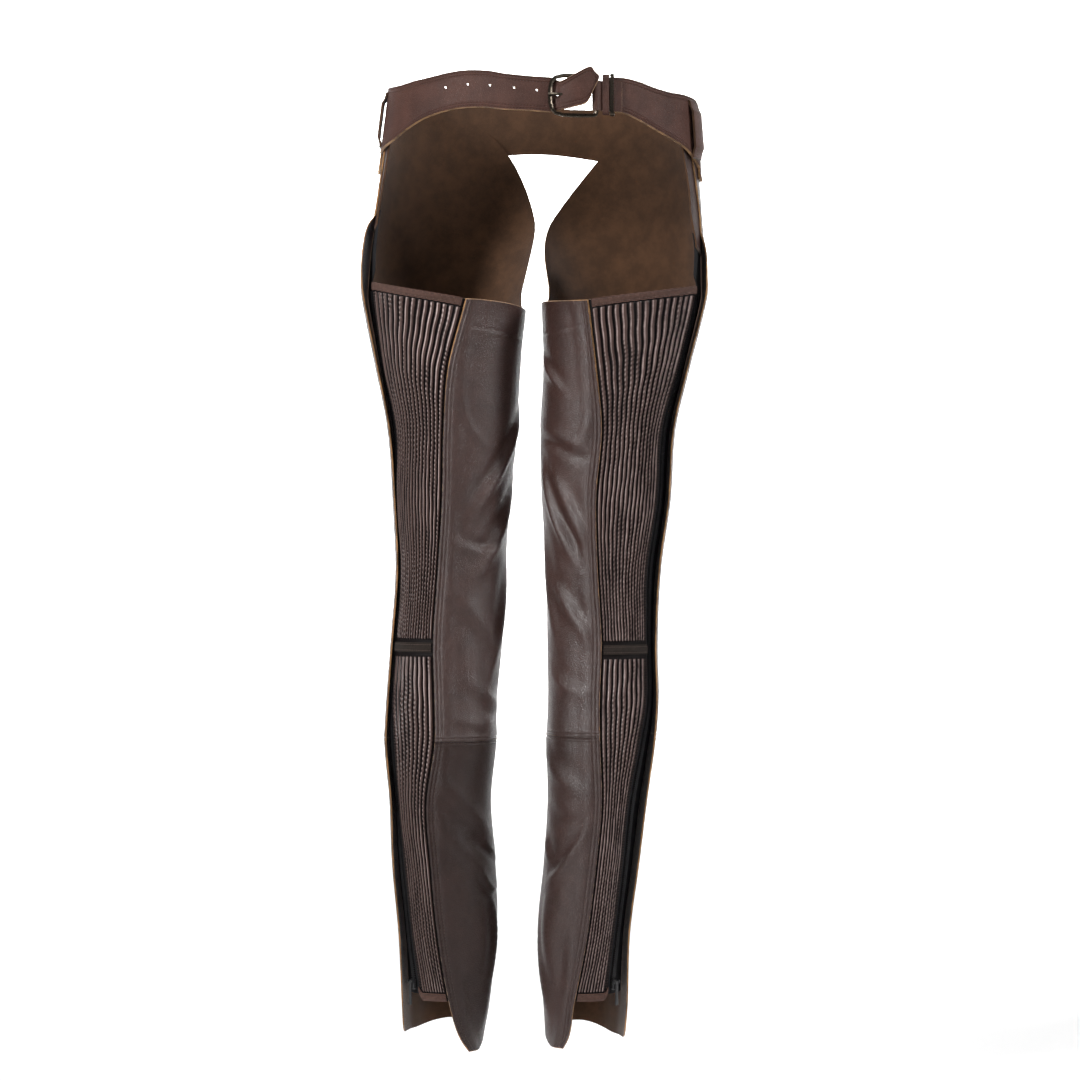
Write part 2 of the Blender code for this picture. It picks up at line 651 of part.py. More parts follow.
def slider_and_pull(leg, group, black, spare):
    """The slider at the foot of the chain, and the tab that hangs from a pin between its ears."""
    angle = chain_angle(leg, SLIDER_HEIGHT)
    base = leg.point(angle, SLIDER_HEIGHT, SLIDER_LAYER)
    outward = (leg.point(angle, SLIDER_HEIGHT, 10.0) - base).normalized()
    heading = math.atan2(outward.y, outward.x) + math.pi / 2
    width, thick, tall = SLIDER_SIZE
    pin_out = thick + 0.4 + PIN_RADIUS
    pin_up = tall / 2 - 2.4

    pieces = []
    body = bmesh.new()
    block(body, (width, thick, tall), (0.0, -thick / 2, 0.0))
    bmesh.ops.bevel(body, geom=body.edges[:], offset=1.0 * MM, segments=1, affect="EDGES")
    pieces.append(body)
    for side in (-1, 1):
        ear = bmesh.new()
        ear_middle = side * (PULL_SIZE[0] / 2 + 0.4 + EAR_SIZE[0] / 2)
        block(ear, (EAR_SIZE[0], EAR_SIZE[1] + 1.0, EAR_SIZE[2]),
              (ear_middle, -thick - EAR_SIZE[1] / 2 + 0.5, pin_up))
        pieces.append(ear)
    slider = union_of(pieces, f"zip_slider_{leg.name}", group, black, spare)
    slider.location = base
    slider.rotation_euler = (0.0, 0.0, heading)

    tab = bmesh.new()
    block(tab, (PULL_SIZE[0], PULL_SIZE[1], PULL_SIZE[2]), (0.0, 0.0, PIN_RADIUS - PULL_SIZE[2] / 2))
    bmesh.ops.bevel(tab, geom=tab.edges[:], offset=0.45 * MM, segments=1, affect="EDGES")
    pull = add_object(f"zip_pull_{leg.name}", finish_mesh(tab, "pull", smooth=False), group, black)
    pull.location = base + outward * pin_out * MM + Vector((0.0, 0.0, pin_up * MM))
    pull.rotation_euler = (0.0, 0.0, heading)


def belt_rows(rows, turns, out, count=5):
    """Grid of a belt piece between its top and bottom edges."""
    grid = []
    for step in even(count - 1):
        line = []
        for turn in turns:
            top, bottom = column(BELT_COLUMNS, rows, "top", turn), column(BELT_COLUMNS, rows, "bottom", turn)
            line.append(hip_point(turn, mix(top, bottom, step), out))
        grid.append(line)
    return grid


def turns_between(start, end, pace):
    count = max(2, round(abs(end - start) / pace))
    return [mix(start, end, k / count) for k in range(count + 1)]


def tip_value(name, place):
    rows = [(index, *row) for index, row in enumerate(TIP_ROWS)]
    return column(("place", *TIP_COLUMNS), rows, name, place)


def left_strap(group, leather, spare):
    """Back strap from the left hip, under the buckle's far bar, with its tip folded over the near one."""
    turns = turns_between(LEFT_STRAP_ROWS[0][0], LEFT_STRAP_ROWS[-1][0], 5.2)
    grid = belt_rows(LEFT_STRAP_ROWS, turns, BELT_LAYER)
    count = len(grid) - 1
    for place in [k / 2 for k in range(0, 2 * len(TIP_ROWS) - 1)]:
        foot_x, foot_z = tip_value("foot_x", place), tip_value("foot_z", place)
        head_x, head_z = tip_value("head_x", place), tip_value("head_z", place)
        for index, line in enumerate(grid):
            share = index / count
            line.append(back_point(mix(head_x, foot_x, share), mix(head_z, foot_z, share), tip_value("out", place)))
    strap = sheet("belt_left", grid, BELT_LEATHER, Vector((0, 0, 0)), group, leather)

    cutters = bmesh.new()
    for x, height in HOLE_SPOTS:
        made = bmesh.ops.create_cone(cutters, cap_ends=True, segments=8, radius1=HOLE_RADIUS * MM,
                                     radius2=HOLE_RADIUS * MM, depth=10.0 * MM)["verts"]
        spot, outer = back_point(x, height, BELT_LAYER), back_point(x, height, BELT_LAYER + 8.0)
        bmesh.ops.rotate(cutters, matrix=(outer - spot).to_track_quat("Z", "Y").to_matrix(), verts=made)
        bmesh.ops.translate(cutters, vec=spot, verts=made)
    low, high = PRONG_SLOT
    slot_middle = back_point((low + high) / 2, PRONG_HEIGHT, 10.0) / MM
    block(cutters, (high - low, 18.0, PRONG_SLOT_HEIGHT), slot_middle)
    punch = bpy.data.objects.new("belt_punch", finish_mesh(cutters, "belt_punch", smooth=False))
    spare.objects.link(punch)
    punch.hide_render = True
    punch.display_type = "WIRE"
    cut = strap.modifiers.new("holes", "BOOLEAN")
    cut.operation = "DIFFERENCE"
    cut.object = punch


def belt_pieces(group, leather, metal, spare):
    left_strap(group, leather, spare)
    turns = turns_between(RIGHT_WING_ROWS[0][0], RIGHT_WING_ROWS[-1][0], 5.2)
    sheet("belt_right", belt_rows(RIGHT_WING_ROWS, turns, BELT_LAYER), BELT_LEATHER, Vector((0, 0, 0)),
          group, leather)
    turns = turns_between(FRONT_BAND_ROWS[0][0], FRONT_BAND_ROWS[-1][0], 6.5)
    sheet("front_waistband", belt_rows(FRONT_BAND_ROWS, turns, BELT_LAYER, 4), BELT_LEATHER,
          Vector((0, 0, -0.04)), group, leather)

    fold = [math.radians(turn) for turn in range(45, 271, 25)]
    round_bar = [(BUCKLE_BAR_X + CHAPE_FOLD * math.cos(a), BUCKLE_OUT + CHAPE_FOLD * math.sin(a)) for a in fold]
    path = [*CHAPE_TOP_RUN, *round_bar, CHAPE_END]
    rows = []
    for height in even(2):
        z = mix(CHAPE_HEIGHTS[0], CHAPE_HEIGHTS[1], height)
        rows.append([back_point(x, z, out) for x, out in path])
    chape = sheet("buckle_chape", rows, CHAPE_LEATHER, Vector((0.06, 0, 0)), group, leather)
    chape.modifiers["wall"].offset = 0.0

    for name, keeper, material in (("keeper_leather", LEATHER_KEEPER, leather), ("keeper_metal", METAL_KEEPER, metal)):
        rows = []
        low, high = keeper["heights"]
        near, far = keeper["reach"]
        cut = 1.0
        loop = ((low + cut, near), (high - cut, near), (high, near + cut), (high, far - cut),
                (high - cut, far), (low + cut, far), (low, far - cut), (low, near + cut))
        for x in keeper["span"]:
            rows.append([back_point(x, height, out) for height, out in loop])
        middle = back_point(sum(keeper["span"]) / 2, (low + high) / 2, (near + far) / 2)
        ring = sheet(name, rows, keeper["wall"], middle, group, material, closed=True)
        ring.modifiers["wall"].use_even_offset = True


def hip_loops(group, leather):
    """A band sewn at its top and bottom to the belt, standing off it between."""
    for name, loop in HIP_LOOPS.items():
        low, high = loop["heights"]
        rows = []
        for step in even(8):
            stand = LOOP_STAND * min(1.0, 3.2 * math.sin(math.pi * step) ** 2)
            out = BELT_LAYER + BELT_LEATHER + SEAM_GAP + stand
            height = mix(high, low, step)
            rows.append([hip_point(mix(*loop["turns"], share), height, out) for share in even(4)])
        sheet(f"hip_loop_{name}", rows, LOOP_WALL, Vector((0, 0, -0.03)), group, leather)


def bent_rod(name, points, radius, cyclic, group, material):
    """A round rod along points, with filled ends when it is open."""
    curve = bpy.data.curves.new(name, "CURVE")
    curve.dimensions = "3D"
    curve.bevel_depth = radius * MM
    curve.bevel_resolution = 2
    curve.use_fill_caps = True
    spline = curve.splines.new("POLY")
    spline.points.add(len(points) - 1)
    for node, point in zip(spline.points, points):
        node.co = (*point, 1.0)
    spline.use_cyclic_u = cyclic
    thing = bpy.data.objects.new(name, curve)
    group.objects.link(thing)
    curve.materials.append(material)
    return thing


def buckle(group, metal):
    outline = [back_point(x, z, BUCKLE_OUT) for x, z in BUCKLE_OUTLINE]
    bent_rod("buckle_frame", outline, BUCKLE_RADIUS, True, group, metal)
    path = [back_point(x, PRONG_HEIGHT, out) for x, out in PRONG_PATH]
    bent_rod("buckle_prong", path, PRONG_RADIUS, False, group, metal)


def build():
    clear_scene()
    chaps = make_collection("leather_chaps")
    cutters = make_collection("cutters")
    finish = {name: make_material(name) for name in MATERIALS}
    for side, rows in ((-1, LEFT_ROWS), (1, RIGHT_ROWS)):
        leg = Leg(side, rows)
        smooth_panels(leg, chaps, finish["brown_leather"])
        stretch_panels(leg, chaps, finish["pleated_leather"], finish["knit_binding"])
        hip_strip(leg, chaps, finish["brown_leather"])
        zip_tapes(leg, chaps, finish["black_tape"])
        zip_chain(leg, chaps, finish["black_zip"])
        slider_and_pull(leg, chaps, finish["black_zip"], cutters)
    belt_pieces(chaps, finish["brown_leather"], finish["dark_bronze"], cutters)
    hip_loops(chaps, finish["brown_leather"])
    buckle(chaps, finish["dark_bronze"])


build()
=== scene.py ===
"""Looks of the leather riding chaps, seen from behind as they hang buckled round the waist.

Sizes are in millimetres unless a name says otherwise, and MM turns them into Blender's metres.
"""
import math

import bpy
import numpy as np
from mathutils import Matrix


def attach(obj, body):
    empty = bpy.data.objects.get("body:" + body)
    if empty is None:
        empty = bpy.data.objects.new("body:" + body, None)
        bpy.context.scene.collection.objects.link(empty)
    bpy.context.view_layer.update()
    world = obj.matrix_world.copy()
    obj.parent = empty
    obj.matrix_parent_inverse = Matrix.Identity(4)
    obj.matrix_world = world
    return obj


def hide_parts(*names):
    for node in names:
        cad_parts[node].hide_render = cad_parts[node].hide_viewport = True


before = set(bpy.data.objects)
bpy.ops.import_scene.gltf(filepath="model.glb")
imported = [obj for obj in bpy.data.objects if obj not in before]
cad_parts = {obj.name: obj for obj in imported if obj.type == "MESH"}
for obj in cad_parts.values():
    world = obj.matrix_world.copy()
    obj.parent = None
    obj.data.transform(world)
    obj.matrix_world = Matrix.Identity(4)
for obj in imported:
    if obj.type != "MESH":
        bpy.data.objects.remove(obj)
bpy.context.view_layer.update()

# Thigh and shin panels
# One wrap of smooth chocolate leather round each leg, cut across at the knee and seamed to the stretch
# panel behind. Grain side out, suede side in, every edge left raw. The free edge covers the zip.
MM = 0.001
LEATHER = 1.5
SEAM_GAP = 0.3
PANEL_LAYER = 1.5
LAPPED_LAYER = 3.6
SEAM_LAP_LAYER = 3.9
HIP_COLUMNS = ("height", "left", "right", "depth")
HIP_ROWS = (
    (20.0, 157.0, 155.5, 113.0),
    (-56.0, 166.5, 161.0, 117.0),
    (-113.0, 174.5, 165.5, 119.0),
    (-168.0, 183.5, 169.0, 116.0),
    (-240.0, 187.0, 169.0, 108.0),
)
LEG_COLUMNS = ("height", "outer", "inner", "depth", "forward", "edge", "seam", "flap", "turn")
LEFT_ROWS = (
    (20.0, 160.0, 19.0, 84.0, 0.0, 150.0, 82.0, 150.0, 9.0),
    (-50.0, 163.0, 19.0, 86.0, 0.0, 158.0, 82.0, 150.0, 9.0),
    (-113.0, 174.0, 19.0, 88.0, 0.0, 171.5, 82.0, 150.0, 10.0),
    (-135.0, 178.0, 19.0, 88.0, 0.0, 175.0, 82.0, 184.0, 12.0),
    (-168.0, 184.5, 19.0, 88.0, 0.0, 179.5, 82.0, 194.0, 18.0),
    (-201.0, 187.0, 19.0, 88.0, 0.0, 180.0, 82.0, 195.0, 24.0),
    (-221.0, 187.5, 19.2, 88.0, 0.0, 178.7, 82.1, 192.8, 26.0),
    (-297.0, 174.0, 26.4, 80.0, 3.0, 168.2, 100.4, 178.2, 24.0),
    (-362.0, 161.5, 30.5, 73.0, 5.0, 155.1, 104.8, 165.8, 24.0),
    (-437.0, 157.5, 38.3, 67.0, 7.0, 154.3, 106.5, 160.5, 20.0),
    (-513.0, 154.0, 43.5, 63.0, 7.0, 150.0, 110.7, 157.5, 22.0),
    (-589.0, 158.5, 46.8, 61.0, 4.0, 154.5, 115.6, 163.0, 22.0),
    (-653.0, 163.0, 52.1, 60.0, -3.0, 158.5, 114.5, 167.4, 22.0),
    (-697.0, 164.0, 52.1, 60.0, -8.0, 156.6, 114.5, 169.0, 26.0),
    (-761.0, 158.0, 58.7, 60.0, -12.0, 151.7, 122.0, 163.1, 28.0),
    (-826.0, 154.5, 54.8, 57.0, -13.0, 145.4, 117.7, 160.9, 28.0),
    (-902.0, 147.0, 52.7, 52.0, -12.0, 137.5, 110.7, 154.4, 29.0),
    (-977.0, 142.5, 60.2, 49.0, -8.0, 127.4, 99.4, 151.2, 29.0),
    (-1010.0, 141.5, 66.0, 48.0, -7.0, 125.5, 91.0, 149.5, 29.0),
    (-1034.0, 141.0, 70.0, 48.0, -6.0, 124.0, 78.0, 148.0, 29.0),
)
RIGHT_ROWS = (
    (20.0, 155.0, 0.2, 84.0, 0.0, 130.0, 49.7, 130.0, 24.0),
    (-50.0, 160.0, 0.2, 86.0, 0.0, 142.5, 49.7, 130.0, 26.0),
    (-105.0, 165.5, 0.2, 88.0, 0.0, 153.5, 49.7, 130.0, 19.0),
    (-133.0, 167.5, 0.2, 88.0, 0.0, 156.0, 49.7, 160.0, 15.0),
    (-165.0, 169.0, 0.2, 88.0, 0.0, 162.0, 49.7, 174.5, 16.0),
    (-203.0, 169.5, 0.2, 88.0, 0.0, 161.0, 49.7, 176.5, 22.0),
    (-221.0, 169.2, 0.2, 88.0, 0.0, 159.8, 49.7, 175.0, 24.0),
    (-297.0, 151.0, 2.4, 80.0, 3.0, 142.0, 57.8, 155.8, 26.0),
    (-362.0, 136.0, 0.0, 73.0, 5.0, 124.7, 62.6, 140.9, 27.0),
    (-437.0, 131.0, 1.8, 67.0, 7.0, 119.9, 57.1, 136.1, 27.0),
    (-513.0, 120.5, 6.9, 63.0, 7.0, 109.1, 58.6, 125.8, 28.0),
    (-589.0, 117.5, 7.7, 61.0, 4.0, 108.0, 62.2, 122.0, 27.0),
    (-653.0, 118.0, 7.8, 60.0, -3.0, 108.0, 60.4, 123.1, 27.0),
    (-697.0, 113.0, 5.6, 60.0, -8.0, 100.8, 60.4, 119.9, 28.0),
    (-761.0, 103.0, 7.8, 60.0, -12.0, 89.0, 61.6, 110.7, 29.0),
    (-826.0, 95.0, 4.6, 57.0, -13.0, 82.4, 55.6, 102.6, 29.0),
    (-902.0, 85.5, -2.5, 52.0, -12.0, 73.4, 46.4, 92.9, 29.0),
    (-977.0, 82.0, 2.9, 49.0, -8.0, 64.8, 34.0, 90.7, 29.0),
    (-1010.0, 79.5, 5.0, 48.0, -7.0, 63.0, 29.5, 88.0, 29.0),
    (-1034.0, 78.5, 6.0, 48.0, -6.0, 61.6, 18.0, 85.5, 29.0),
)
LEVEL_COLUMNS = ("side", "waist", "zip_corner", "seat", "crotch", "strip_end", "cross_band", "knee",
                 "foot", "flap_hem", "front_hem", "inner_hem", "tip")
LEVEL_ROWS = (
    (-1, -24.0, -205.5, -225.5, -232.0, -142.0, -595.0, -694.0, -971.0, -1009.0, -1001.0, -1018.0, -1027.0),
    (1, -32.0, -210.0, -226.5, -224.0, -168.0, -597.5, -689.0, -971.0, -1015.0, -1004.0, -1014.0, -1023.0),
)
HIP_BLEND = (-245.0, -125.0)
INNER_LEG_BLEND = (96.0, 176.0)
HIP_LIFT_BLEND = (-232.0, -185.0)
FRONT_FALL = (84.0, 166.0)
ZIP_SIDE_BLEND = (15.0, 40.0)
SEAM_LAP = (26.0, 12.0)
PANEL_TURN = (-26.0, 255.0)
SEAT_FALL = (180.0, 255.0)
HEM_TURN = (-29.0, 240.0)
HEM_BLENDS = {"flap": (-29.0, -12.0), "front": (20.0, 90.0), "inner": (110.0, 175.0), "tip": (175.0, 215.0)}
FLAP_CORNER = 9.0
REAR_SHARES = (-0.98, 0.995)
FLARE_START = 12.0
FLARE_POWER = 1.6

# Each fold has three spots, as angle round the leg and height, then its rise, which is negative in a
# trough, and its half width. Angle 0 is the outer side, 90 the front and 270 behind.
FOLD_COLUMNS = ("from_angle", "from_height", "by_angle", "by_height", "to_angle", "to_height",
                "rise", "width")
LEFT_FOLDS = (
    (270.0, -251.0, 218.0, -262.0, 174.0, -266.0, -1.2, 2.0),
    (259.0, -324.0, 264.0, -358.0, 240.0, -380.0, 2.0, 4.0),
    (176.0, -340.0, 208.0, -392.0, 252.0, -462.0, 4.6, 7.0),
    (176.0, -416.0, 204.0, -472.0, 250.0, -532.0, 4.0, 8.0),
    (264.0, -474.0, 236.0, -494.0, 202.0, -478.0, -2.2, 5.0),
    (252.0, -400.0, 262.0, -430.0, 250.0, -456.0, 2.2, 9.0),
    (266.0, -536.0, 230.0, -566.0, 206.0, -612.0, 2.8, 9.0),
    (184.0, -500.0, 190.0, -560.0, 214.0, -628.0, 3.2, 8.0),
    (244.0, -630.0, 214.0, -652.0, 180.0, -662.0, 2.4, 7.0),
    (266.0, -668.0, 232.0, -680.0, 196.0, -676.0, 1.6, 6.0),
    (274.0, -728.0, 240.0, -768.0, 198.0, -798.0, 3.4, 9.0),
    (214.0, -800.0, 200.0, -812.0, 182.0, -822.0, 2.2, 4.0),
    (236.0, -792.0, 214.0, -812.0, 192.0, -806.0, -2.6, 7.0),
    (268.0, -788.0, 244.0, -820.0, 214.0, -840.0, 2.8, 8.0),
    (220.0, -836.0, 208.0, -864.0, 184.0, -848.0, 3.6, 5.0),
    (206.0, -856.0, 188.0, -905.0, 204.0, -962.0, 3.2, 6.0),
    (204.0, -950.0, 212.0, -985.0, 208.0, -1010.0, 2.4, 7.0),
    (238.0, -880.0, 228.0, -940.0, 240.0, -1004.0, -1.6, 10.0),
    (60.0, -120.0, 110.0, -215.0, 150.0, -300.0, 3.6, 14.0),
    (96.0, -150.0, 130.0, -225.0, 168.0, -268.0, 3.2, 10.0),
    (30.0, -260.0, 60.0, -330.0, 66.0, -430.0, 2.8, 12.0),
    (148.0, -380.0, 118.0, -470.0, 112.0, -560.0, 3.0, 10.0),
    (36.0, -610.0, 92.0, -640.0, 150.0, -618.0, 3.4, 8.0),
    (50.0, -668.0, 96.0, -684.0, 140.0, -664.0, 2.4, 6.0),
    (30.0, -720.0, 84.0, -752.0, 148.0, -728.0, 3.0, 8.0),
    (70.0, -800.0, 112.0, -850.0, 104.0, -920.0, 2.6, 9.0),
    (20.0, -900.0, 74.0, -934.0, 132.0, -922.0, 3.0, 8.0),
    (34.0, -960.0, 84.0, -976.0, 140.0, -958.0, 2.2, 6.0),
)
RIGHT_FOLDS = (
    (270.0, -250.0, 215.0, -258.0, 174.0, -262.0, -0.8, 2.2),
    (190.0, -284.0, 204.0, -300.0, 226.0, -322.0, 3.2, 5.0),
    (180.0, -366.0, 222.0, -380.0, 262.0, -398.0, -3.0, 6.0),
    (262.0, -352.0, 244.0, -372.0, 238.0, -396.0, 2.4, 9.0),
    (194.0, -398.0, 206.0, -444.0, 246.0, -516.0, 4.8, 6.0),
    (214.0, -410.0, 242.0, -452.0, 256.0, -500.0, 3.2, 7.0),
    (224.0, -452.0, 234.0, -476.0, 250.0, -492.0, -2.6, 5.0),
    (186.0, -470.0, 192.0, -530.0, 214.0, -590.0, 3.0, 8.0),
    (200.0, -520.0, 236.0, -552.0, 262.0, -598.0, 3.4, 7.0),
    (194.0, -618.0, 226.0, -640.0, 262.0, -648.0, 2.2, 7.0),
    (186.0, -700.0, 206.0, -730.0, 262.0, -752.0, 2.8, 9.0),
    (196.0, -760.0, 226.0, -790.0, 262.0, -776.0, -2.0, 8.0),
    (190.0, -796.0, 196.0, -816.0, 212.0, -826.0, 2.6, 5.0),
    (204.0, -846.0, 234.0, -838.0, 264.0, -786.0, 3.6, 6.0),
    (196.0, -856.0, 192.0, -900.0, 200.0, -940.0, -2.0, 7.0),
    (186.0, -900.0, 196.0, -950.0, 212.0, -992.0, 2.8, 7.0),
    (236.0, -880.0, 244.0, -940.0, 242.0, -1000.0, -1.6, 9.0),
    (66.0, -130.0, 112.0, -210.0, 146.0, -310.0, 3.4, 13.0),
    (100.0, -160.0, 134.0, -220.0, 166.0, -262.0, 3.0, 10.0),
    (26.0, -280.0, 56.0, -340.0, 72.0, -440.0, 3.0, 11.0),
    (152.0, -360.0, 124.0, -450.0, 108.0, -548.0, 2.8, 10.0),
    (40.0, -600.0, 88.0, -636.0, 146.0, -622.0, 3.2, 8.0),
    (44.0, -662.0, 92.0, -678.0, 150.0, -670.0, 2.6, 6.0),
    (34.0, -730.0, 90.0, -748.0, 144.0, -722.0, 2.8, 8.0),
    (80.0, -796.0, 104.0, -846.0, 96.0, -912.0, 2.8, 9.0),
    (24.0, -908.0, 80.0, -940.0, 138.0, -916.0, 2.8, 8.0),
    (30.0, -966.0, 80.0, -980.0, 144.0, -964.0, 2.4, 6.0),
)
FOLD_STEPS = 24
FOLD_ENDS = (0.03, 0.97)
FOLD_TAPER = 0.7
FOLD_HOLLOW = {"place": 1.7, "width": 1.2, "depth": 0.45}
FOLD_SEAM = (6.0, 19.0)
FOLD_ZIP = (12.0, 40.0)
FOLD_WAIST = (-20.0, -90.0)
# Slow waves under the folds: height, how many round the leg, length down it, and start.
PANEL_WAVES = ((0.5, 3.0, 61.0, 0.0), (0.35, 5.0, -37.0, 1.3))
CUT_SLOPE = (0.4, 1.0)
CUT_SLOPE_FALL = (-150.0, -60.0)
CUT_RAGGED = 0.35
SEAM_REACH = 11.2
SEAM_PITCH = 0.7
ROW_PULL = 0.1
STITCH_PITCH = 3.4
STITCH_LENGTH = 2.5
THREAD_RADIUS = 0.3
SEAM_STITCH_ROWS = (3.8, 7.6)
KNEE_STITCH_ROW = 2.3
KNEE_RIDGES = (0.9, 4.3)
GROOVE = (0.55, 0.8)
PUFF = (0.65, 1.3)
PORE_SHADE = (0.62, 0.6, 0.58)
CHOCOLATE = (0.045, 0.021, 0.017)
# Painted shade: the shin panels are darker, less shiny copies of the thigh leather, the left shin most.
SHIN_PAINTED_SHADE = {"left": 0.56, "right": 0.85}
SUEDE_BROWN = (0.06, 0.028, 0.013)
RAW_TAN = (0.3, 0.16, 0.07)
THREAD_BROWN = (0.05, 0.028, 0.022)


def mix(start, end, share):
    return start + (end - start) * share


def ramp(low, high, value):
    """0 at low, 1 at high, eased between."""
    share = np.clip((value - low) / (high - low), 0.0, 1.0)
    return share * share * (3.0 - 2.0 * share)


def column(names, rows, name, key):
    """The named column at values of the first column, on a smooth curve through the rows."""
    table = np.array(sorted(rows))
    keys, values = table[:, 0], table[:, names.index(name)]
    place = np.arange(len(keys))
    before, after = np.maximum(place - 1, 0), np.minimum(place + 1, len(keys) - 1)
    slope = (values[after] - values[before]) / (keys[after] - keys[before])
    key = np.clip(key, keys[0], keys[-1])
    left = np.clip(np.searchsorted(keys, key, side="right") - 1, 0, len(keys) - 2)
    span = keys[left + 1] - keys[left]
    t = (key - keys[left]) / span
    return ((2 * t**3 - 3 * t**2 + 1) * values[left] + (t**3 - 2 * t**2 + t) * span * slope[left]
            + (3 * t**2 - 2 * t**3) * values[left + 1] + (t**3 - t**2) * span * slope[left + 1])


def hip_axes(height):
    """Middle along X, half width and half depth of the hips."""
    left = column(HIP_COLUMNS, HIP_ROWS, "left", height)
    right = column(HIP_COLUMNS, HIP_ROWS, "right", height)
    return (right - left) / 2, (right + left) / 2, column(HIP_COLUMNS, HIP_ROWS, "depth", height)


def swell(middle, size, value):
    """A soft ridge, from its height and half width."""
    return size[0] * np.exp(-((value - middle) / size[1]) ** 2)


def seam_profile(distance, first, second):
    """Leather near a seam with two rows of stitches: a groove at each row and a puffed ridge before it."""
    return (swell(first / 2, PUFF, distance) - swell(first, GROOVE, distance)
            + swell((first + second) / 2, PUFF, distance) - swell(second, GROOVE, distance))


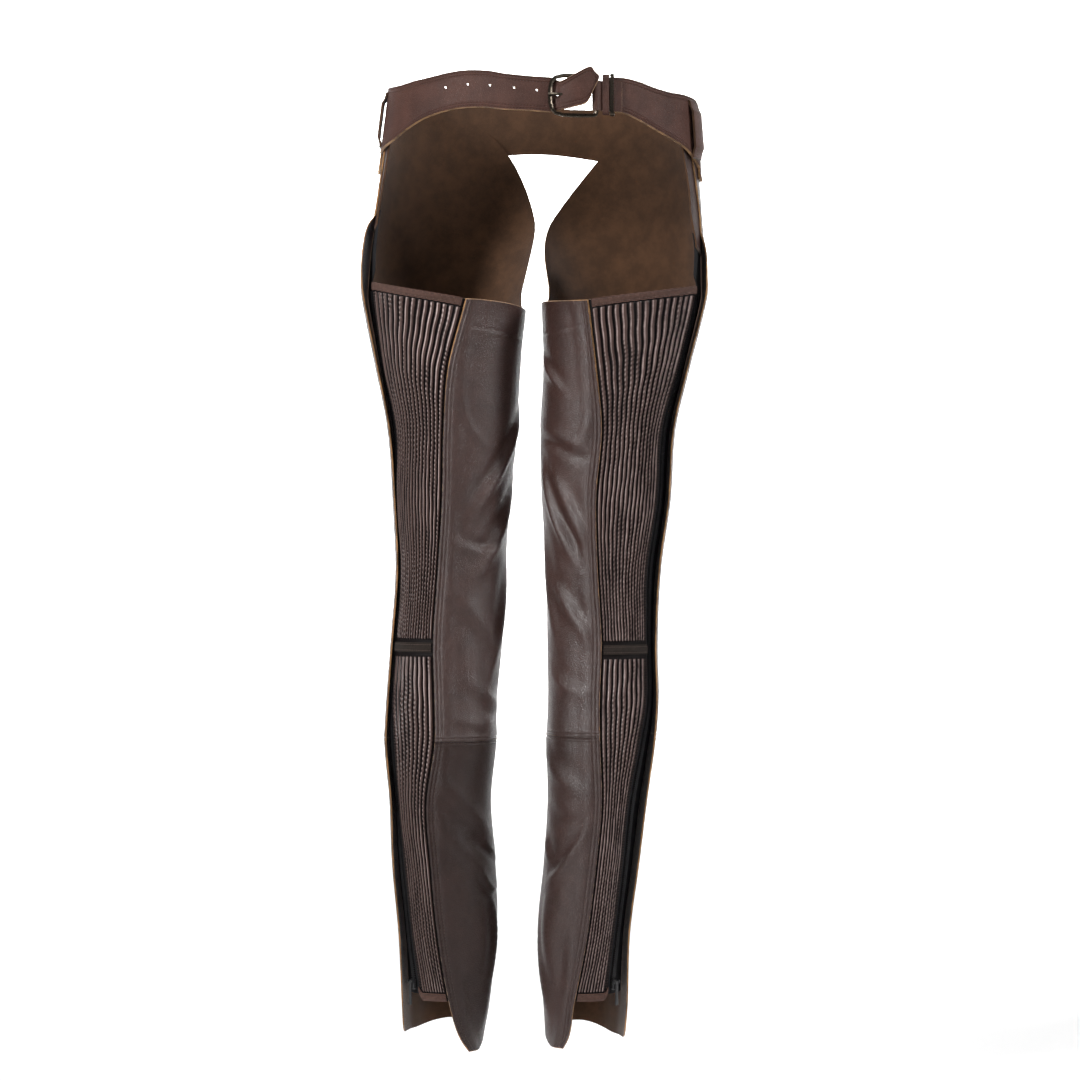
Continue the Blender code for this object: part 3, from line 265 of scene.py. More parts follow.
class Leg:
    """One leg of the chaps: its form, and the angles and heights of its edges."""

    def __init__(self, side, rows, folds):
        self.side = side
        self.rows = rows
        self.folds = folds
        self.name = "right" if side > 0 else "left"
        levels = next(row for row in LEVEL_ROWS if row[0] == side)
        self.level = dict(zip(LEVEL_COLUMNS, levels))

    def at(self, name, height):
        return column(LEG_COLUMNS, self.rows, name, height)

    def axes(self, height):
        """Middle and half width of the leg, half its depth, and how far forward it stands."""
        names = ("outer", "inner", "depth", "forward")
        outer, inner, depth, forward = (self.at(name, height) for name in names)
        return (outer + inner) / 2, (outer - inner) / 2, depth, forward

    def radius(self, height):
        _, half, depth, _ = self.axes(height)
        return (half + depth) / 2

    def form(self, angle, height):
        """Outward and forward distance of the leg's form; 0 is the outer side, 90 the front."""
        middle, half, depth, forward = self.axes(height)
        cosine, sine = np.cos(np.radians(angle)), np.sin(np.radians(angle))
        turned = np.abs((angle + 180.0) % 360.0 - 180.0)
        share = ramp(*HIP_BLEND, height) * (1.0 - ramp(*INNER_LEG_BLEND, turned))
        hip_middle, hip_half, hip_depth = hip_axes(height)
        start = middle - self.side * hip_middle
        square = (cosine / hip_half) ** 2 + (sine / hip_depth) ** 2
        cross = start * cosine / hip_half**2 + forward * sine / hip_depth**2
        rest = (start / hip_half) ** 2 + (forward / hip_depth) ** 2 - 1.0
        reach = (-cross + np.sqrt(np.maximum(cross**2 - square * rest, 0.0))) / square
        return (mix(middle + half * cosine, middle + reach * cosine, share),
                mix(forward + depth * sine, forward + reach * sine, share))

    def point(self, angle, height, out):
        """Points out from the leg's form, in metres."""
        angle, height, out = np.broadcast_arrays(angle, height, out)
        x, y = self.form(angle, height)
        after, before = self.form(angle + 0.5, height), self.form(angle - 0.5, height)
        along_x, along_y = after[0] - before[0], after[1] - before[1]
        length = np.hypot(along_x, along_y)
        x = x + along_y / length * out
        y = y - along_x / length * out
        return np.stack([self.side * x, y, height], axis=-1) * MM

    def rear_angle(self, name, height):
        """The angle, behind the outer side, where the rear of the leg is at the named distance."""
        middle, half, _, _ = self.axes(height)
        return -np.degrees(np.arccos(np.clip((self.at(name, height) - middle) / half, *REAR_SHARES)))

    def degrees(self, length, height):
        """The turn that a length takes round the leg."""
        return np.degrees(length / self.radius(height))

    def flare(self, angle, height):
        """How far the panel's free side stands off the leg."""
        turn = -self.at("turn", height)
        x, _ = self.form(turn, height)
        edge = np.maximum(self.at("flap", height) - x - LAPPED_LAYER - LEATHER, 0.0)
        share = np.clip((FLARE_START - angle) / (FLARE_START - turn), 0.0, 1.0)
        return edge / np.cos(np.radians(turn)) * share**FLARE_POWER

    def panel_layer(self, angle, height):
        """Inner face of the smooth panels: lapped over the stretch panel and over the hip strip."""
        seam = 360.0 + self.rear_angle("seam", height)
        lap = ramp(*(seam - self.degrees(length, height) for length in SEAM_LAP), angle)
        over_zip = 1.0 - ramp(*ZIP_SIDE_BLEND, angle)
        raised = mix(PANEL_LAYER, LAPPED_LAYER, np.maximum(ramp(*HIP_LIFT_BLEND, height), over_zip))
        return np.maximum(mix(PANEL_LAYER, SEAM_LAP_LAYER, lap), raised)

    def panel_angle(self, share, height):
        """Angle on the smooth panels, from the free edge at 0 to the back seam at 1."""
        return mix(-self.at("turn", height), 360.0 + self.rear_angle("seam", height), share)

    def panel_girth(self, height):
        """Length round the smooth panels at a height."""
        turn = self.panel_angle(1.0, height) - self.panel_angle(0.0, height)
        return np.radians(turn) * self.radius(height)

    def panel_top(self, share):
        """Upper edge of the thigh panel: under the waistband, down the front, then round the seat."""
        nominal = mix(*PANEL_TURN, share)
        behind = mix(self.level["crotch"], self.level["seat"], ramp(*SEAT_FALL, nominal))
        return mix(self.level["waist"], behind, ramp(*FRONT_FALL, nominal))

    def hem(self, share):
        """Lower edge of the shin panel, with the rounded flap corner and the pointed back corner."""
        nominal = mix(*HEM_TURN, share)
        level = self.level["flap_hem"] + FLAP_CORNER
        for name, blend in HEM_BLENDS.items():
            goal = self.level["tip" if name == "tip" else f"{name}_hem"]
            level = mix(level, goal, ramp(*blend, nominal))
        return level

    def relief(self, angle, height):
        """Folds of the smooth leather, in millimetres outwards."""
        radius = self.radius(height)
        rise = sum(size * np.sin(np.radians(angle) * around + height / length + start)
                   for size, around, length, start in PANEL_WAVES)
        t = np.linspace(0.0, 1.0, FOLD_STEPS)
        for fold in self.folds:
            value = dict(zip(FOLD_COLUMNS, fold))
            path = [(1 - t) ** 2 * value["from_" + axis] + 2 * t * (1 - t) * value["by_" + axis]
                    + t**2 * value["to_" + axis] for axis in ("angle", "height")]
            away = np.radians(angle[..., None] - path[0]) * radius[..., None]
            down = height[..., None] - path[1]
            nearest = np.argmin(away**2 + down**2, axis=-1)[..., None]
            away = np.take_along_axis(away, nearest, axis=-1)[..., 0]
            down = np.take_along_axis(down, nearest, axis=-1)[..., 0]
            nearest = nearest[..., 0]
            run_around = np.radians(np.gradient(path[0]))[nearest] * radius
            run_down = np.gradient(path[1])[nearest]
            side = np.sign(run_around * down - run_down * away)
            distance = np.hypot(away, down) / value["width"]
            taper = np.sin(np.pi * np.clip(t[nearest], *FOLD_ENDS)) ** FOLD_TAPER
            hollow = np.exp(-((side * distance - FOLD_HOLLOW["place"]) / FOLD_HOLLOW["width"]) ** 2)
            rise = rise + value["rise"] * taper * (np.exp(-distance**2) - FOLD_HOLLOW["depth"] * hollow)
        seam = self.panel_angle(1.0, height)
        near_seam = ramp(*FOLD_SEAM, np.radians(seam - angle) * radius)
        below_waist = ramp(*(self.level["waist"] + below for below in FOLD_WAIST), height)
        return rise * near_seam * ramp(*FOLD_ZIP, angle) * below_waist

    def panel_inside(self, share, height):
        """Points inside the smooth panels, with shallower folds."""
        angle = self.panel_angle(share, height)
        folds = self.relief(angle, height)
        folds = np.where(folds > 0.0, 0.5, 1.0) * folds
        return self.point(angle, height, self.panel_layer(angle, height) + self.flare(angle, height) + folds)

    def panel_outside(self, share, height, lift=0.0):
        """Points outside the smooth panels, with their folds and the puffed leather along the stitches."""
        angle = self.panel_angle(share, height)
        in_from_seam = (1.0 - share) * self.panel_girth(height)
        from_knee = np.abs(height - self.level["knee"])
        puffed = (seam_profile(in_from_seam, *SEAM_STITCH_ROWS)
                  + swell(KNEE_RIDGES[0], GROOVE, from_knee) - swell(KNEE_STITCH_ROW, GROOVE, from_knee)
                  + swell(KNEE_RIDGES[1], GROOVE, from_knee))
        out = self.panel_layer(angle, height) + self.flare(angle, height) + self.relief(angle, height)
        return self.point(angle, height, out + LEATHER + puffed + lift)


LEGS = (Leg(-1, LEFT_ROWS, LEFT_FOLDS), Leg(1, RIGHT_ROWS, RIGHT_FOLDS))


class Shade:
    """One socket of a material's nodes. Python's operators on it add Math nodes."""

    def __init__(self, tree, socket=None):
        self.tree = tree
        self.socket = socket

    def node(self, kind, settings, sockets, output=0):
        """Any node: its settings first, then the values or links of its sockets."""
        made = self.tree.nodes.new(kind)
        for name, value in settings.items():
            setattr(made, name, value)
        for name, value in sockets.items():
            if isinstance(value, Shade):
                self.tree.links.new(value.socket, made.inputs[name])
            else:
                made.inputs[name].default_value = value
        return Shade(self.tree, made.outputs[output])

    def math(self, operation, *values):
        return self.node("ShaderNodeMath", {"operation": operation}, dict(enumerate(values)))

    def __add__(self, other):
        return self.math("ADD", self, other)

    def __radd__(self, other):
        return self.math("ADD", other, self)

    def __sub__(self, other):
        return self.math("SUBTRACT", self, other)

    def __rsub__(self, other):
        return self.math("SUBTRACT", other, self)

    def __mul__(self, other):
        return self.math("MULTIPLY", self, other)

    def __rmul__(self, other):
        return self.math("MULTIPLY", other, self)

    def noise(self, scale, detail=2.0, roughness=0.5):
        return self.node("ShaderNodeTexNoise", {}, {"Vector": self, "Scale": scale, "Detail": detail,
                                                    "Roughness": roughness})

    def blend(self, first, second):
        """A colour between two, by this socket's value."""
        sockets = {"Factor": self, 6: first, 7: second}
        return self.node("ShaderNodeMix", {"data_type": "RGBA"}, sockets, output=2)

    def between(self, low, high):
        """This value, from low to high, as 0 to 1."""
        return self.node("ShaderNodeMapRange", {"interpolation_type": "SMOOTHSTEP"},
                         {"Value": self, "From Min": low, "From Max": high})


def colour(rgb, factor=1.0):
    return (rgb[0] * factor, rgb[1] * factor, rgb[2] * factor, 1.0)


def new_finish(name, **sockets):
    """A material with plain values on its shader's sockets, and the object coordinates to start from."""
    material = bpy.data.materials.new(name)
    material.use_nodes = True
    tree = material.node_tree
    shader = tree.nodes["Principled BSDF"]
    for socket, value in sockets.items():
        shader.inputs[socket.replace("_", " ")].default_value = value
    start = Shade(tree).node("ShaderNodeTexCoord", {}, {}, output=3)
    return material, start, shader


def feed(shader, **links):
    """Links into a shader's sockets."""
    for socket, value in links.items():
        value.tree.links.new(value.socket, shader.inputs[socket.replace("_", " ")])


def leather_finish(name, tone, gloss, pebble, shine):
    """Grained leather: pebbles with fine pores, darker in the grooves between them, patchy tone and an uneven
    satin sheen.
    """
    material, place, shader = new_finish(name, Specular_IOR_Level=shine)
    cells = place.node("ShaderNodeTexVoronoi", {"feature": "DISTANCE_TO_EDGE"},
                       {"Vector": place, "Scale": pebble})
    pebbles = cells.between(0.0, 0.32)
    pores = place.noise(2600.0, 2.0)
    cloudy = place.noise(14.0, 4.0, 0.6)
    streaks = place.noise(60.0, 3.0)
    tone_share = (cloudy * 0.65 + streaks * 0.35).between(0.3, 0.7)
    base = tone_share.blend(colour(tone, 0.8), colour(tone, 1.25))
    # Darker in the grooves between the pebbles.
    groove_mask = pebbles.blend(colour(PORE_SHADE), colour((1.0, 1.0, 1.0)))
    base = base.node("ShaderNodeMix", {"data_type": "RGBA", "blend_type": "MULTIPLY"},
                     {"Factor": 0.7, 6: base, 7: groove_mask}, output=2)
    bump = place.node("ShaderNodeBump", {}, {"Strength": 0.8, "Distance": 0.00026,
                                             "Height": pebbles * 0.8 + pores * 0.2})
    roughness = cloudy * 0.12 + (1.0 - pebbles) * 0.1 + (gloss - 0.1)
    feed(shader, Base_Color=base, Normal=bump, Roughness=roughness)
    return material


def suede_finish(name, tone, low=0.75, high=1.25):
    """The flesh side of leather: a short matt nap, brushed lighter and darker."""
    material, place, shader = new_finish(name, Roughness=0.95, Specular_IOR_Level=0.2, Sheen_Weight=0.25,
                                         Sheen_Roughness=0.5)
    nap = place.noise(1400.0, 3.0, 0.7)
    brushed = place.noise(45.0, 4.0, 0.65)
    base = (nap * 0.4 + brushed * 0.6).between(0.36, 0.64).blend(colour(tone, low), colour(tone, high))
    bump = place.node("ShaderNodeBump", {}, {"Strength": 0.6, "Distance": 0.0004, "Height": nap})
    feed(shader, Base_Color=base, Normal=bump)
    return material


chocolate_leather = leather_finish("chocolate_leather", CHOCOLATE, 0.4, 560.0, 0.6)
leathers = {("thigh", side): chocolate_leather for side in SHIN_PAINTED_SHADE}
# Each shin gets its own darker, less shiny copy of the leather: painted shade.
for side, painted_shade in SHIN_PAINTED_SHADE.items():
    tone = [value * painted_shade for value in CHOCOLATE]
    leathers["shin", side] = leather_finish(f"shin_leather_{side}", tone, 0.42, 560.0, 0.6 * painted_shade)
brown_suede = suede_finish("brown_suede", SUEDE_BROWN)
raw_edge = suede_finish("raw_edge", RAW_TAN, 0.3, 1.3)
brown_thread, thread_place, thread_shader = new_finish("brown_thread", Roughness=0.6)
thread_base = thread_place.noise(900.0).blend(colour(THREAD_BROWN, 0.6), colour(THREAD_BROWN, 1.7))
feed(thread_shader, Base_Color=thread_base)


def mesh_piece(name, points, faces, finishes, looks=None, slot=None, stands_for=(), body="garment"):
    """A smooth mesh from points in metres. looks gives each face's place in finishes."""
    mesh = bpy.data.meshes.new(name)
    mesh.from_pydata(np.asarray(points).reshape(-1, 3), [], faces)
    for finish in finishes:
        mesh.materials.append(finish)
    if looks is not None:
        mesh.polygons.foreach_set("material_index", looks)
    mesh.shade_smooth()
    mesh.set_sharp_from_angle(angle=math.radians(50))
    piece = bpy.data.objects.new(name, mesh)
    bpy.context.collection.objects.link(piece)
    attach(piece, body)
    if stands_for:
        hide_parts(*stands_for)
    return piece


def grid_faces(index):
    """Four-sided faces between the rows and columns of a table of point numbers."""
    corners = (index[:-1, :-1], index[:-1, 1:], index[1:, 1:], index[1:, :-1])
    return np.stack(corners, axis=-1).reshape(-1, 4)


def shell(name, outer, inner, finishes, closed=False, coarse=1, **facts):
    """A wall between two grids of points: outer face, inner face and rim, each with its own finish.
    coarse keeps one in so many rows and columns of the inner face."""
    rows, columns = outer.shape[:2]
    index = np.arange(rows * columns).reshape(rows, columns)
    down, across = (np.unique([*range(0, count, coarse), count - 1]) for count in (rows, columns))
    lining = rows * columns + np.arange(len(down) * len(across)).reshape(len(down), len(across))
    points = np.concatenate([outer.reshape(-1, 3), inner[np.ix_(down, across)].reshape(-1, 3)])
    if closed:
        index, lining, across = (np.hstack([index, index[:, :1]]), np.hstack([lining, lining[:, :1]]),
                                 np.append(across, columns))
    edges = [(index[0], lining[0], across), (index[-1, ::-1], lining[-1, ::-1], across[-1] - across[::-1])]
    if not closed:
        edges += [(index[::-1, 0], lining[::-1, 0], down[-1] - down[::-1]),
                  (index[:, -1], lining[:, -1], down)]
    rims = []
    for line, facing, kept in edges:
        for k in range(len(kept) - 1):
            rims.append([*line[kept[k]:kept[k + 1] + 1][::-1], facing[k], facing[k + 1]])
    skin, back = grid_faces(index).tolist(), grid_faces(lining)[:, ::-1].tolist()
    faces = skin + back + rims
    looks = np.repeat([0, 1, 2], [len(skin), len(back), len(rims)])
    middle = outer[rows // 2, columns // 2]
    up, left = outer[rows // 2 - 1, columns // 2] - middle, outer[rows // 2, columns // 2 - 1] - middle
    if np.dot(np.cross(left, up), middle - inner[rows // 2, columns // 2]) < 0:
        faces = [face[::-1] for face in faces]
    return mesh_piece(name, points, faces, finishes, looks, **facts)


def spaced(path, pitch):
    """Points along a path at an even pitch in metres, their stations, and the path's own run."""
    steps = np.linalg.norm(np.diff(path, axis=0), axis=1)
    run = np.concatenate([[0.0], np.cumsum(steps)])
    stations = np.arange(pitch / 2, run[-1], pitch)
    points = np.stack([np.interp(stations, run, path[:, axis]) for axis in range(path.shape[1])], axis=-1)
    return points, stations, run


def stitch_mesh(name, rows, finish, pitch=STITCH_PITCH, length=STITCH_LENGTH, radius=THREAD_RADIUS):
    """Rows of stitches joined in one mesh: each stitch is a small pad of thread, sunk at both ends.
    A row is a path on the leather and the same path a little above it."""
    sides, rings = 4, ((-0.5, 0.3, -0.9), (-0.26, 0.95, 0.25), (0.26, 0.95, 0.25), (0.5, 0.3, -0.9))
    numbers = np.arange(len(rings) * sides).reshape(len(rings), sides)
    tube = grid_faces(np.hstack([numbers, numbers[:, :1]]))
    ends = np.array([[3, 2, 1, 0], [12, 13, 14, 15]])
    pad_faces = np.concatenate([tube, ends])[:, ::-1]
    points, faces, count = [], [], 0
    for path, above in rows:
        spots, stations, run = spaced(path, pitch * MM)
        tops = np.stack([np.interp(stations, run, above[:, axis]) for axis in range(3)], axis=-1)
        outward = tops - spots
        outward /= np.linalg.norm(outward, axis=1)[:, None]
        along = np.gradient(spots, axis=0)
        along /= np.linalg.norm(along, axis=1)[:, None]
        across = np.cross(along, outward)
        pad = []
        for place, size, lift in rings:
            for k in range(sides):
                turn = 2 * math.pi * k / sides
                out = outward * (lift + size * math.sin(turn)) * radius
                aside = across * size * math.cos(turn) * radius
                pad.append(spots + (along * place * length + out + aside) * MM)
        points.append(np.stack(pad, axis=1).reshape(-1, 3))
        start = count + np.arange(len(spots))[:, None, None] * len(pad)
        faces.append((pad_faces + start).reshape(-1, 4))
        count += len(spots) * len(pad)
    return mesh_piece(name, np.concatenate(points), np.concatenate(faces), [finish])


def stitch_row(point, *place):
    """A path on the leather, and the same path 1 mm above it."""
    return [point(*place, lift) for lift in (0.0, 1.0)]


def raw_cut(leg, height):
    """How far the grain side is drawn in from a panel's raw edges, unevenly and more beside the seat."""
    uneven = (0.5 * np.sin(height / 1.9 + leg.side) + 0.3 * np.sin(height / 4.7 + 2.3 * leg.side)
              + 0.2 * np.sin(height / 0.83 + 5.1 * leg.side))
    beside_seat = ramp(*(leg.level["seat"] + below for below in CUT_SLOPE_FALL), height)
    return mix(*CUT_SLOPE, beside_seat) + CUT_RAGGED * uneven


def panel_grid(leg, edge, way, rows, columns, cut):
    """Shares and heights over a smooth panel, from the knee seam to its cut edge, with rows and columns
    close together along the two seams. With a cut it is drawn in from its raw edges."""
    knee = leg.level["knee"] - (SEAM_GAP if way < 0 else 0.0)
    near = np.arange(0.0, SEAM_REACH, SEAM_PITCH)
    steps = np.linspace(0.0, 1.0, rows)
    steps = (steps + ROW_PULL * np.sin(np.pi * steps))[:, None]
    level = np.concatenate([knee + way * near[:, None], mix(knee + way * SEAM_REACH, edge(1.0), steps)])
    girth = leg.panel_girth(level)
    share = np.concatenate([np.linspace(0.0, 1.0, columns) * (1.0 - SEAM_REACH / girth),
                            1.0 - near[::-1] / girth], axis=1)
    raised = 0.0
    if cut:
        share = share + raw_cut(leg, level) / girth * (1.0 - 2.0 * share)
        raised = CUT_SLOPE[1]
    far = mix(knee + way * SEAM_REACH, edge(share[len(near):]) - way * raised, steps)
    return share, np.concatenate([level[:len(near)] + 0.0 * share[:len(near)], far])


for leg in LEGS:
    knee, seat = leg.level["knee"], leg.level["seat"]
    for title, *grid in (("thigh", leg.panel_top, 1, 190, 140), ("shin", leg.hem, -1, 100, 104)):
        inner = leg.panel_inside(*panel_grid(leg, *grid, False))
        outer = leg.panel_outside(*panel_grid(leg, *grid, True))
        finishes = [leathers[title, leg.name], brown_suede, raw_edge]
        shell(f"{title}_leather_{leg.name}", outer, inner, finishes, coarse=2,
                            slot="brown_leather", stands_for=[f"{title}_panel_{leg.name}"])
    rows = []
    for inset in SEAM_STITCH_ROWS:
        for start, end in ((seat - 4.0, knee + 2.0), (knee - 3.0, leg.hem(1.0) + 4.0)):
            height = np.linspace(start, end, 160)
            rows.append(stitch_row(leg.panel_outside, 1.0 - inset / leg.panel_girth(height), height))
    share = np.linspace(0.012, 0.988, 200)
    for offset in (-KNEE_STITCH_ROW, KNEE_STITCH_ROW):
        rows.append(stitch_row(leg.panel_outside, share, np.full(share.shape, knee + offset)))
    seams = stitch_mesh(f"panel_stitches_{leg.name}", rows, brown_thread)

# Stretch panels
# Elastic leather smocked into narrow upright pleats, in two lengths joined under the cross band. It has a
# plain margin along the zip, and runs under the smooth panels at the back seam.
PLEAT_RISE = 2.6
UPPER_PLEATS = 15
LOWER_PLEATS = 9
PLEAT_SPOTS = (0.0, 0.045, 0.11, 0.22, 0.38, 0.5, 0.62, 0.78, 0.89, 0.955)
PLEAT_SWAYS = ((0.05, 5.3, 0.8), (0.08, 17.0, 0.35), (0.14, 61.0, -0.2))
PLEAT_FULLNESS = 0.84
MARGIN_COLUMNS = 3
LAP_COLUMNS = 2
PLEAT_FADE = 1.5
EDGE_MARGIN = 5.5
LAP_WIDTH = 9.0
BINDING_HEIGHT = 8.5
ROW_PITCH = 1.25
PLEAT_SHARPNESS = 1.6
PLEAT_NOTCH = 0.42
PLEAT_NOTCH_WIDTH = 0.17
TWIST_PITCH = 4.8
TWIST_SLANT = 0.9
MARGIN_STITCH_SHARES = (-0.28, -0.72)
PLEAT_TWIST = {"left": 0.18, "right": 0.08}
# Painted highlight along one side of each pleat's crest: its strength on each leg, its colour, and its place
# and width across a pleat.
PLEAT_HIGHLIGHT = {"left": 1.0, "right": 0.72}
MAUVE_BROWN = (0.07, 0.042, 0.036)
HIGHLIGHT_MAUVE = (0.5, 0.385, 0.365)
HIGHLIGHT_PLACE = 0.3
HIGHLIGHT_WIDTH = 0.15
PLEAT_SHADOW = (0.005, 0.003, 0.003)

pleat_draw = np.random.default_rng(11)


def stretch_angle(leg, share, height):
    """Angle across a stretch panel: from -1 to 0 the margin at the zip, to 1 the pleats, to 2 the lap."""
    edge, seam = leg.rear_angle("edge", height), leg.rear_angle("seam", height)
    first, last = edge - leg.degrees(EDGE_MARGIN, height), seam + leg.degrees(1.5, height)
    margin = mix(first, edge, np.clip(-share, 0.0, 1.0))
    lap = mix(last, seam - leg.degrees(LAP_WIDTH, height), np.clip(share - 1.0, 0.0, 1.0))
    return np.where(share < 0.0, margin, np.where(share > 1.0, lap, mix(first, last, share)))


def seat_edge(leg, share):
    """Upper edge of the upper stretch panel, falling from the zip corner to the back seam."""
    return mix(leg.level["zip_corner"], leg.level["seat"], np.clip(share, 0.0, 1.0))


def foot_edge(leg, share):
    """Lower edge of the lower stretch panel, with its rounded corner at the zip."""
    return leg.level["foot"] + 6.0 * np.clip(-share, 0.0, 1.0) ** 2


def pleat_sway(share, height, pleats):
    """How far the pleats wander sideways, as a share of the panel."""
    sway = sum(size * np.sin(height / length + slant * share * pleats) for size, length, slant in PLEAT_SWAYS)
    return sway * np.clip(np.minimum(share, 1.0 - share) * pleats * 0.5, 0.0, 1.0) / pleats


def pleat_form(leg, share, height, pleats, top, bottom):
    """Pleats: how far each point stands out, as a share of a pleat's height, and how much painted highlight
    it carries. Twisted wrinkles cross them here and there, and each swells and thins along its length."""
    place = np.clip(share * pleats, 0.0, pleats - 1e-6)
    number = place.astype(int)
    local = place - number
    phase = pleat_draw.uniform(0.0, 6.28, (4, pleats))
    first, second, third, fourth = (row[number] for row in phase)
    turns = height / TWIST_PITCH + TWIST_SLANT * local
    twist = np.sin(2.0 * np.pi * turns + first + np.sin(height / 11.0) * 1.5)
    crossed = ramp(-0.6, 0.6, np.sin(height / 29.0 + second * 0.35) + 0.5 * np.sin(height / 13.0 + third))
    swollen = 0.07 * np.sin(height / 9.0 + third) + 0.08 * np.sin(height / 31.0 + fourth)
    from_valley = np.minimum(local, 1.0 - local)
    profile = (PLEAT_NOTCH * (1.0 - np.exp(-(from_valley / PLEAT_NOTCH_WIDTH) ** 2))
               + (1.0 - PLEAT_NOTCH) * (1.0 - np.abs(2.0 * local - 1.0) ** PLEAT_SHARPNESS))
    fade = ramp(0.0, PLEAT_FADE, top - height) * ramp(0.0, PLEAT_FADE, height - bottom)
    fade = np.where((share > 0.0) & (share < 1.0), fade, 0.0)
    depth = PLEAT_TWIST[leg.name] * crossed
    # Painted highlight: a lighter band left of each crest, seen from behind, on both legs; stronger on the
    # left leg and dimmed where the wrinkles twist.
    wear_and_painted_highlight = np.exp(-((local - 0.5 - leg.side * (0.5 - HIGHLIGHT_PLACE)) / HIGHLIGHT_WIDTH) ** 2)
    wear_and_painted_highlight = PLEAT_HIGHLIGHT[leg.name] * wear_and_painted_highlight * (1.0 - 2.2 * depth * (1.0 - twist))
    return profile * (PLEAT_FULLNESS + swollen + depth * twist) * fade, wear_and_painted_highlight * fade


def set_relief_map(piece, rise, wear_and_painted_highlight):
    """A UV map that carries how far out each point stands and how much painted highlight it has."""
    mesh = piece.data
    corners = np.empty(len(mesh.loops), dtype=int)
    mesh.loops.foreach_get("vertex_index", corners)
    values = np.zeros((len(mesh.vertices), 2))
    values[:rise.size] = np.stack([rise.reshape(-1), wear_and_painted_highlight.reshape(-1)], axis=-1)
    layer = mesh.uv_layers.new(name="relief")
    layer.uv.foreach_set("vector", values[corners].reshape(-1))


def pleated_finish():
    """Soft mauve-brown leather, glossier along the crests, with a painted highlight to one side of each crest
    and painted shadow in the valleys.
    """
    material, place, shader = new_finish("pleated_leather", Specular_IOR_Level=0.12, Coat_Roughness=0.3)
    relief = place.node("ShaderNodeUVMap", {"uv_map": "relief"}, {})
    crest = relief.node("ShaderNodeSeparateXYZ", {}, {0: relief})
    wear_and_painted_highlight = relief.node("ShaderNodeSeparateXYZ", {}, {0: relief}, output=1)
    patchy = place.noise(160.0, 4.0, 0.6)
    fine = place.noise(1100.0, 3.0, 0.6)
    # Painted shadow: where the relief is low, in the valleys, on the flat margin and lap, and where the
    # pleats fade by the bindings, the colour goes near black.
    groove_mask = (crest + (patchy - 0.5) * 0.2).between(0.4, 0.8)
    # Painted highlight: the lighter mauve band from the relief map, spread a little by the patchy noise.
    pale = (wear_and_painted_highlight + (patchy - 0.5) * 0.35).between(0.25, 0.9)
    base = groove_mask.blend(colour(PLEAT_SHADOW), pale.blend(colour(MAUVE_BROWN), colour(HIGHLIGHT_MAUVE)))
    bump = place.node("ShaderNodeBump", {}, {"Strength": 0.5, "Distance": 0.0001, "Height": fine})
    feed(shader, Base_Color=base, Normal=bump, Roughness=0.62 - groove_mask * 0.2, Coat_Weight=groove_mask * 0.5)
    return material


pleated_leather = pleated_finish()


def stretch_panel(leg, title, pleats, top, bottom):
    """A pleated wall between two heights that change across it, flat under the bindings."""
    spots = (np.arange(pleats)[:, None] + np.array(PLEAT_SPOTS)).reshape(-1) / pleats
    shares = np.concatenate([np.linspace(-1.0, 0.0, MARGIN_COLUMNS, endpoint=False), spots,
                             np.linspace(1.0, 2.0, LAP_COLUMNS + 1)])[None, :]
    upper, lower = top(shares), bottom(shares)
    rows = round(float(np.max(upper - lower)) / ROW_PITCH)
    height = mix(upper, lower, np.linspace(0.0, 1.0, rows + 1)[:, None])
    shares = np.broadcast_to(shares, height.shape)
    angle = stretch_angle(leg, shares + pleat_sway(shares, height, pleats), height)
    rise, wear_and_painted_highlight = pleat_form(leg, shares, height, pleats, upper - BINDING_HEIGHT, lower + BINDING_HEIGHT)
    outer = leg.point(angle, height, PANEL_LAYER + LEATHER + PLEAT_RISE * rise)
    inner = leg.point(angle, height, PANEL_LAYER)
    finishes = [pleated_leather, brown_suede, raw_edge]
    piece = shell(f"{title}_leather_{leg.name}", outer, inner, finishes, coarse=5,
                  slot="pleated_leather", stands_for=[f"{title}_{leg.name}"])
    set_relief_map(piece, rise, wear_and_painted_highlight)
    rows = []
    for share in MARGIN_STITCH_SHARES:
        clear = BINDING_HEIGHT + 1.0
        height = np.linspace(top(share) - clear, bottom(share) + clear, 160)
        angle = stretch_angle(leg, np.full(height.shape, share), height)
        rows.append([leg.point(angle, height, PANEL_LAYER + LEATHER + lift) for lift in (0.0, 1.0)])
    name = f"{title}_stitches_{leg.name}"
    return piece, stitch_mesh(name, rows, brown_thread, pitch=3.0, length=2.2, radius=0.28)


for leg in LEGS:
    band = leg.level["cross_band"]
    upper, upper_rows = stretch_panel(leg, "stretch_upper", UPPER_PLEATS,
                                      lambda share: seat_edge(leg, share),
                                      lambda share: band + 0.0 * share)
    lower, lower_rows = stretch_panel(leg, "stretch_lower", LOWER_PLEATS,
                                      lambda share: band - SEAM_GAP + 0.0 * share,
                                      lambda share: foot_edge(leg, share))

# Bindings and cross band
# Brown knit tape, sewn flat with two rows over the top and bottom edges of the pleats and over their join
# behind the knee.
BINDING_LAYER = 3.4
BINDING = 1.4
BAND_HEIGHT = 10.0
BINDING_DOME = 0.5
BINDING_OVERLAP = 0.6
BINDING_STITCH_ROWS = (0.2, 0.8)
KNIT_BROWN = (0.078, 0.043, 0.034)
BAND_BROWN = (0.022, 0.016, 0.013)


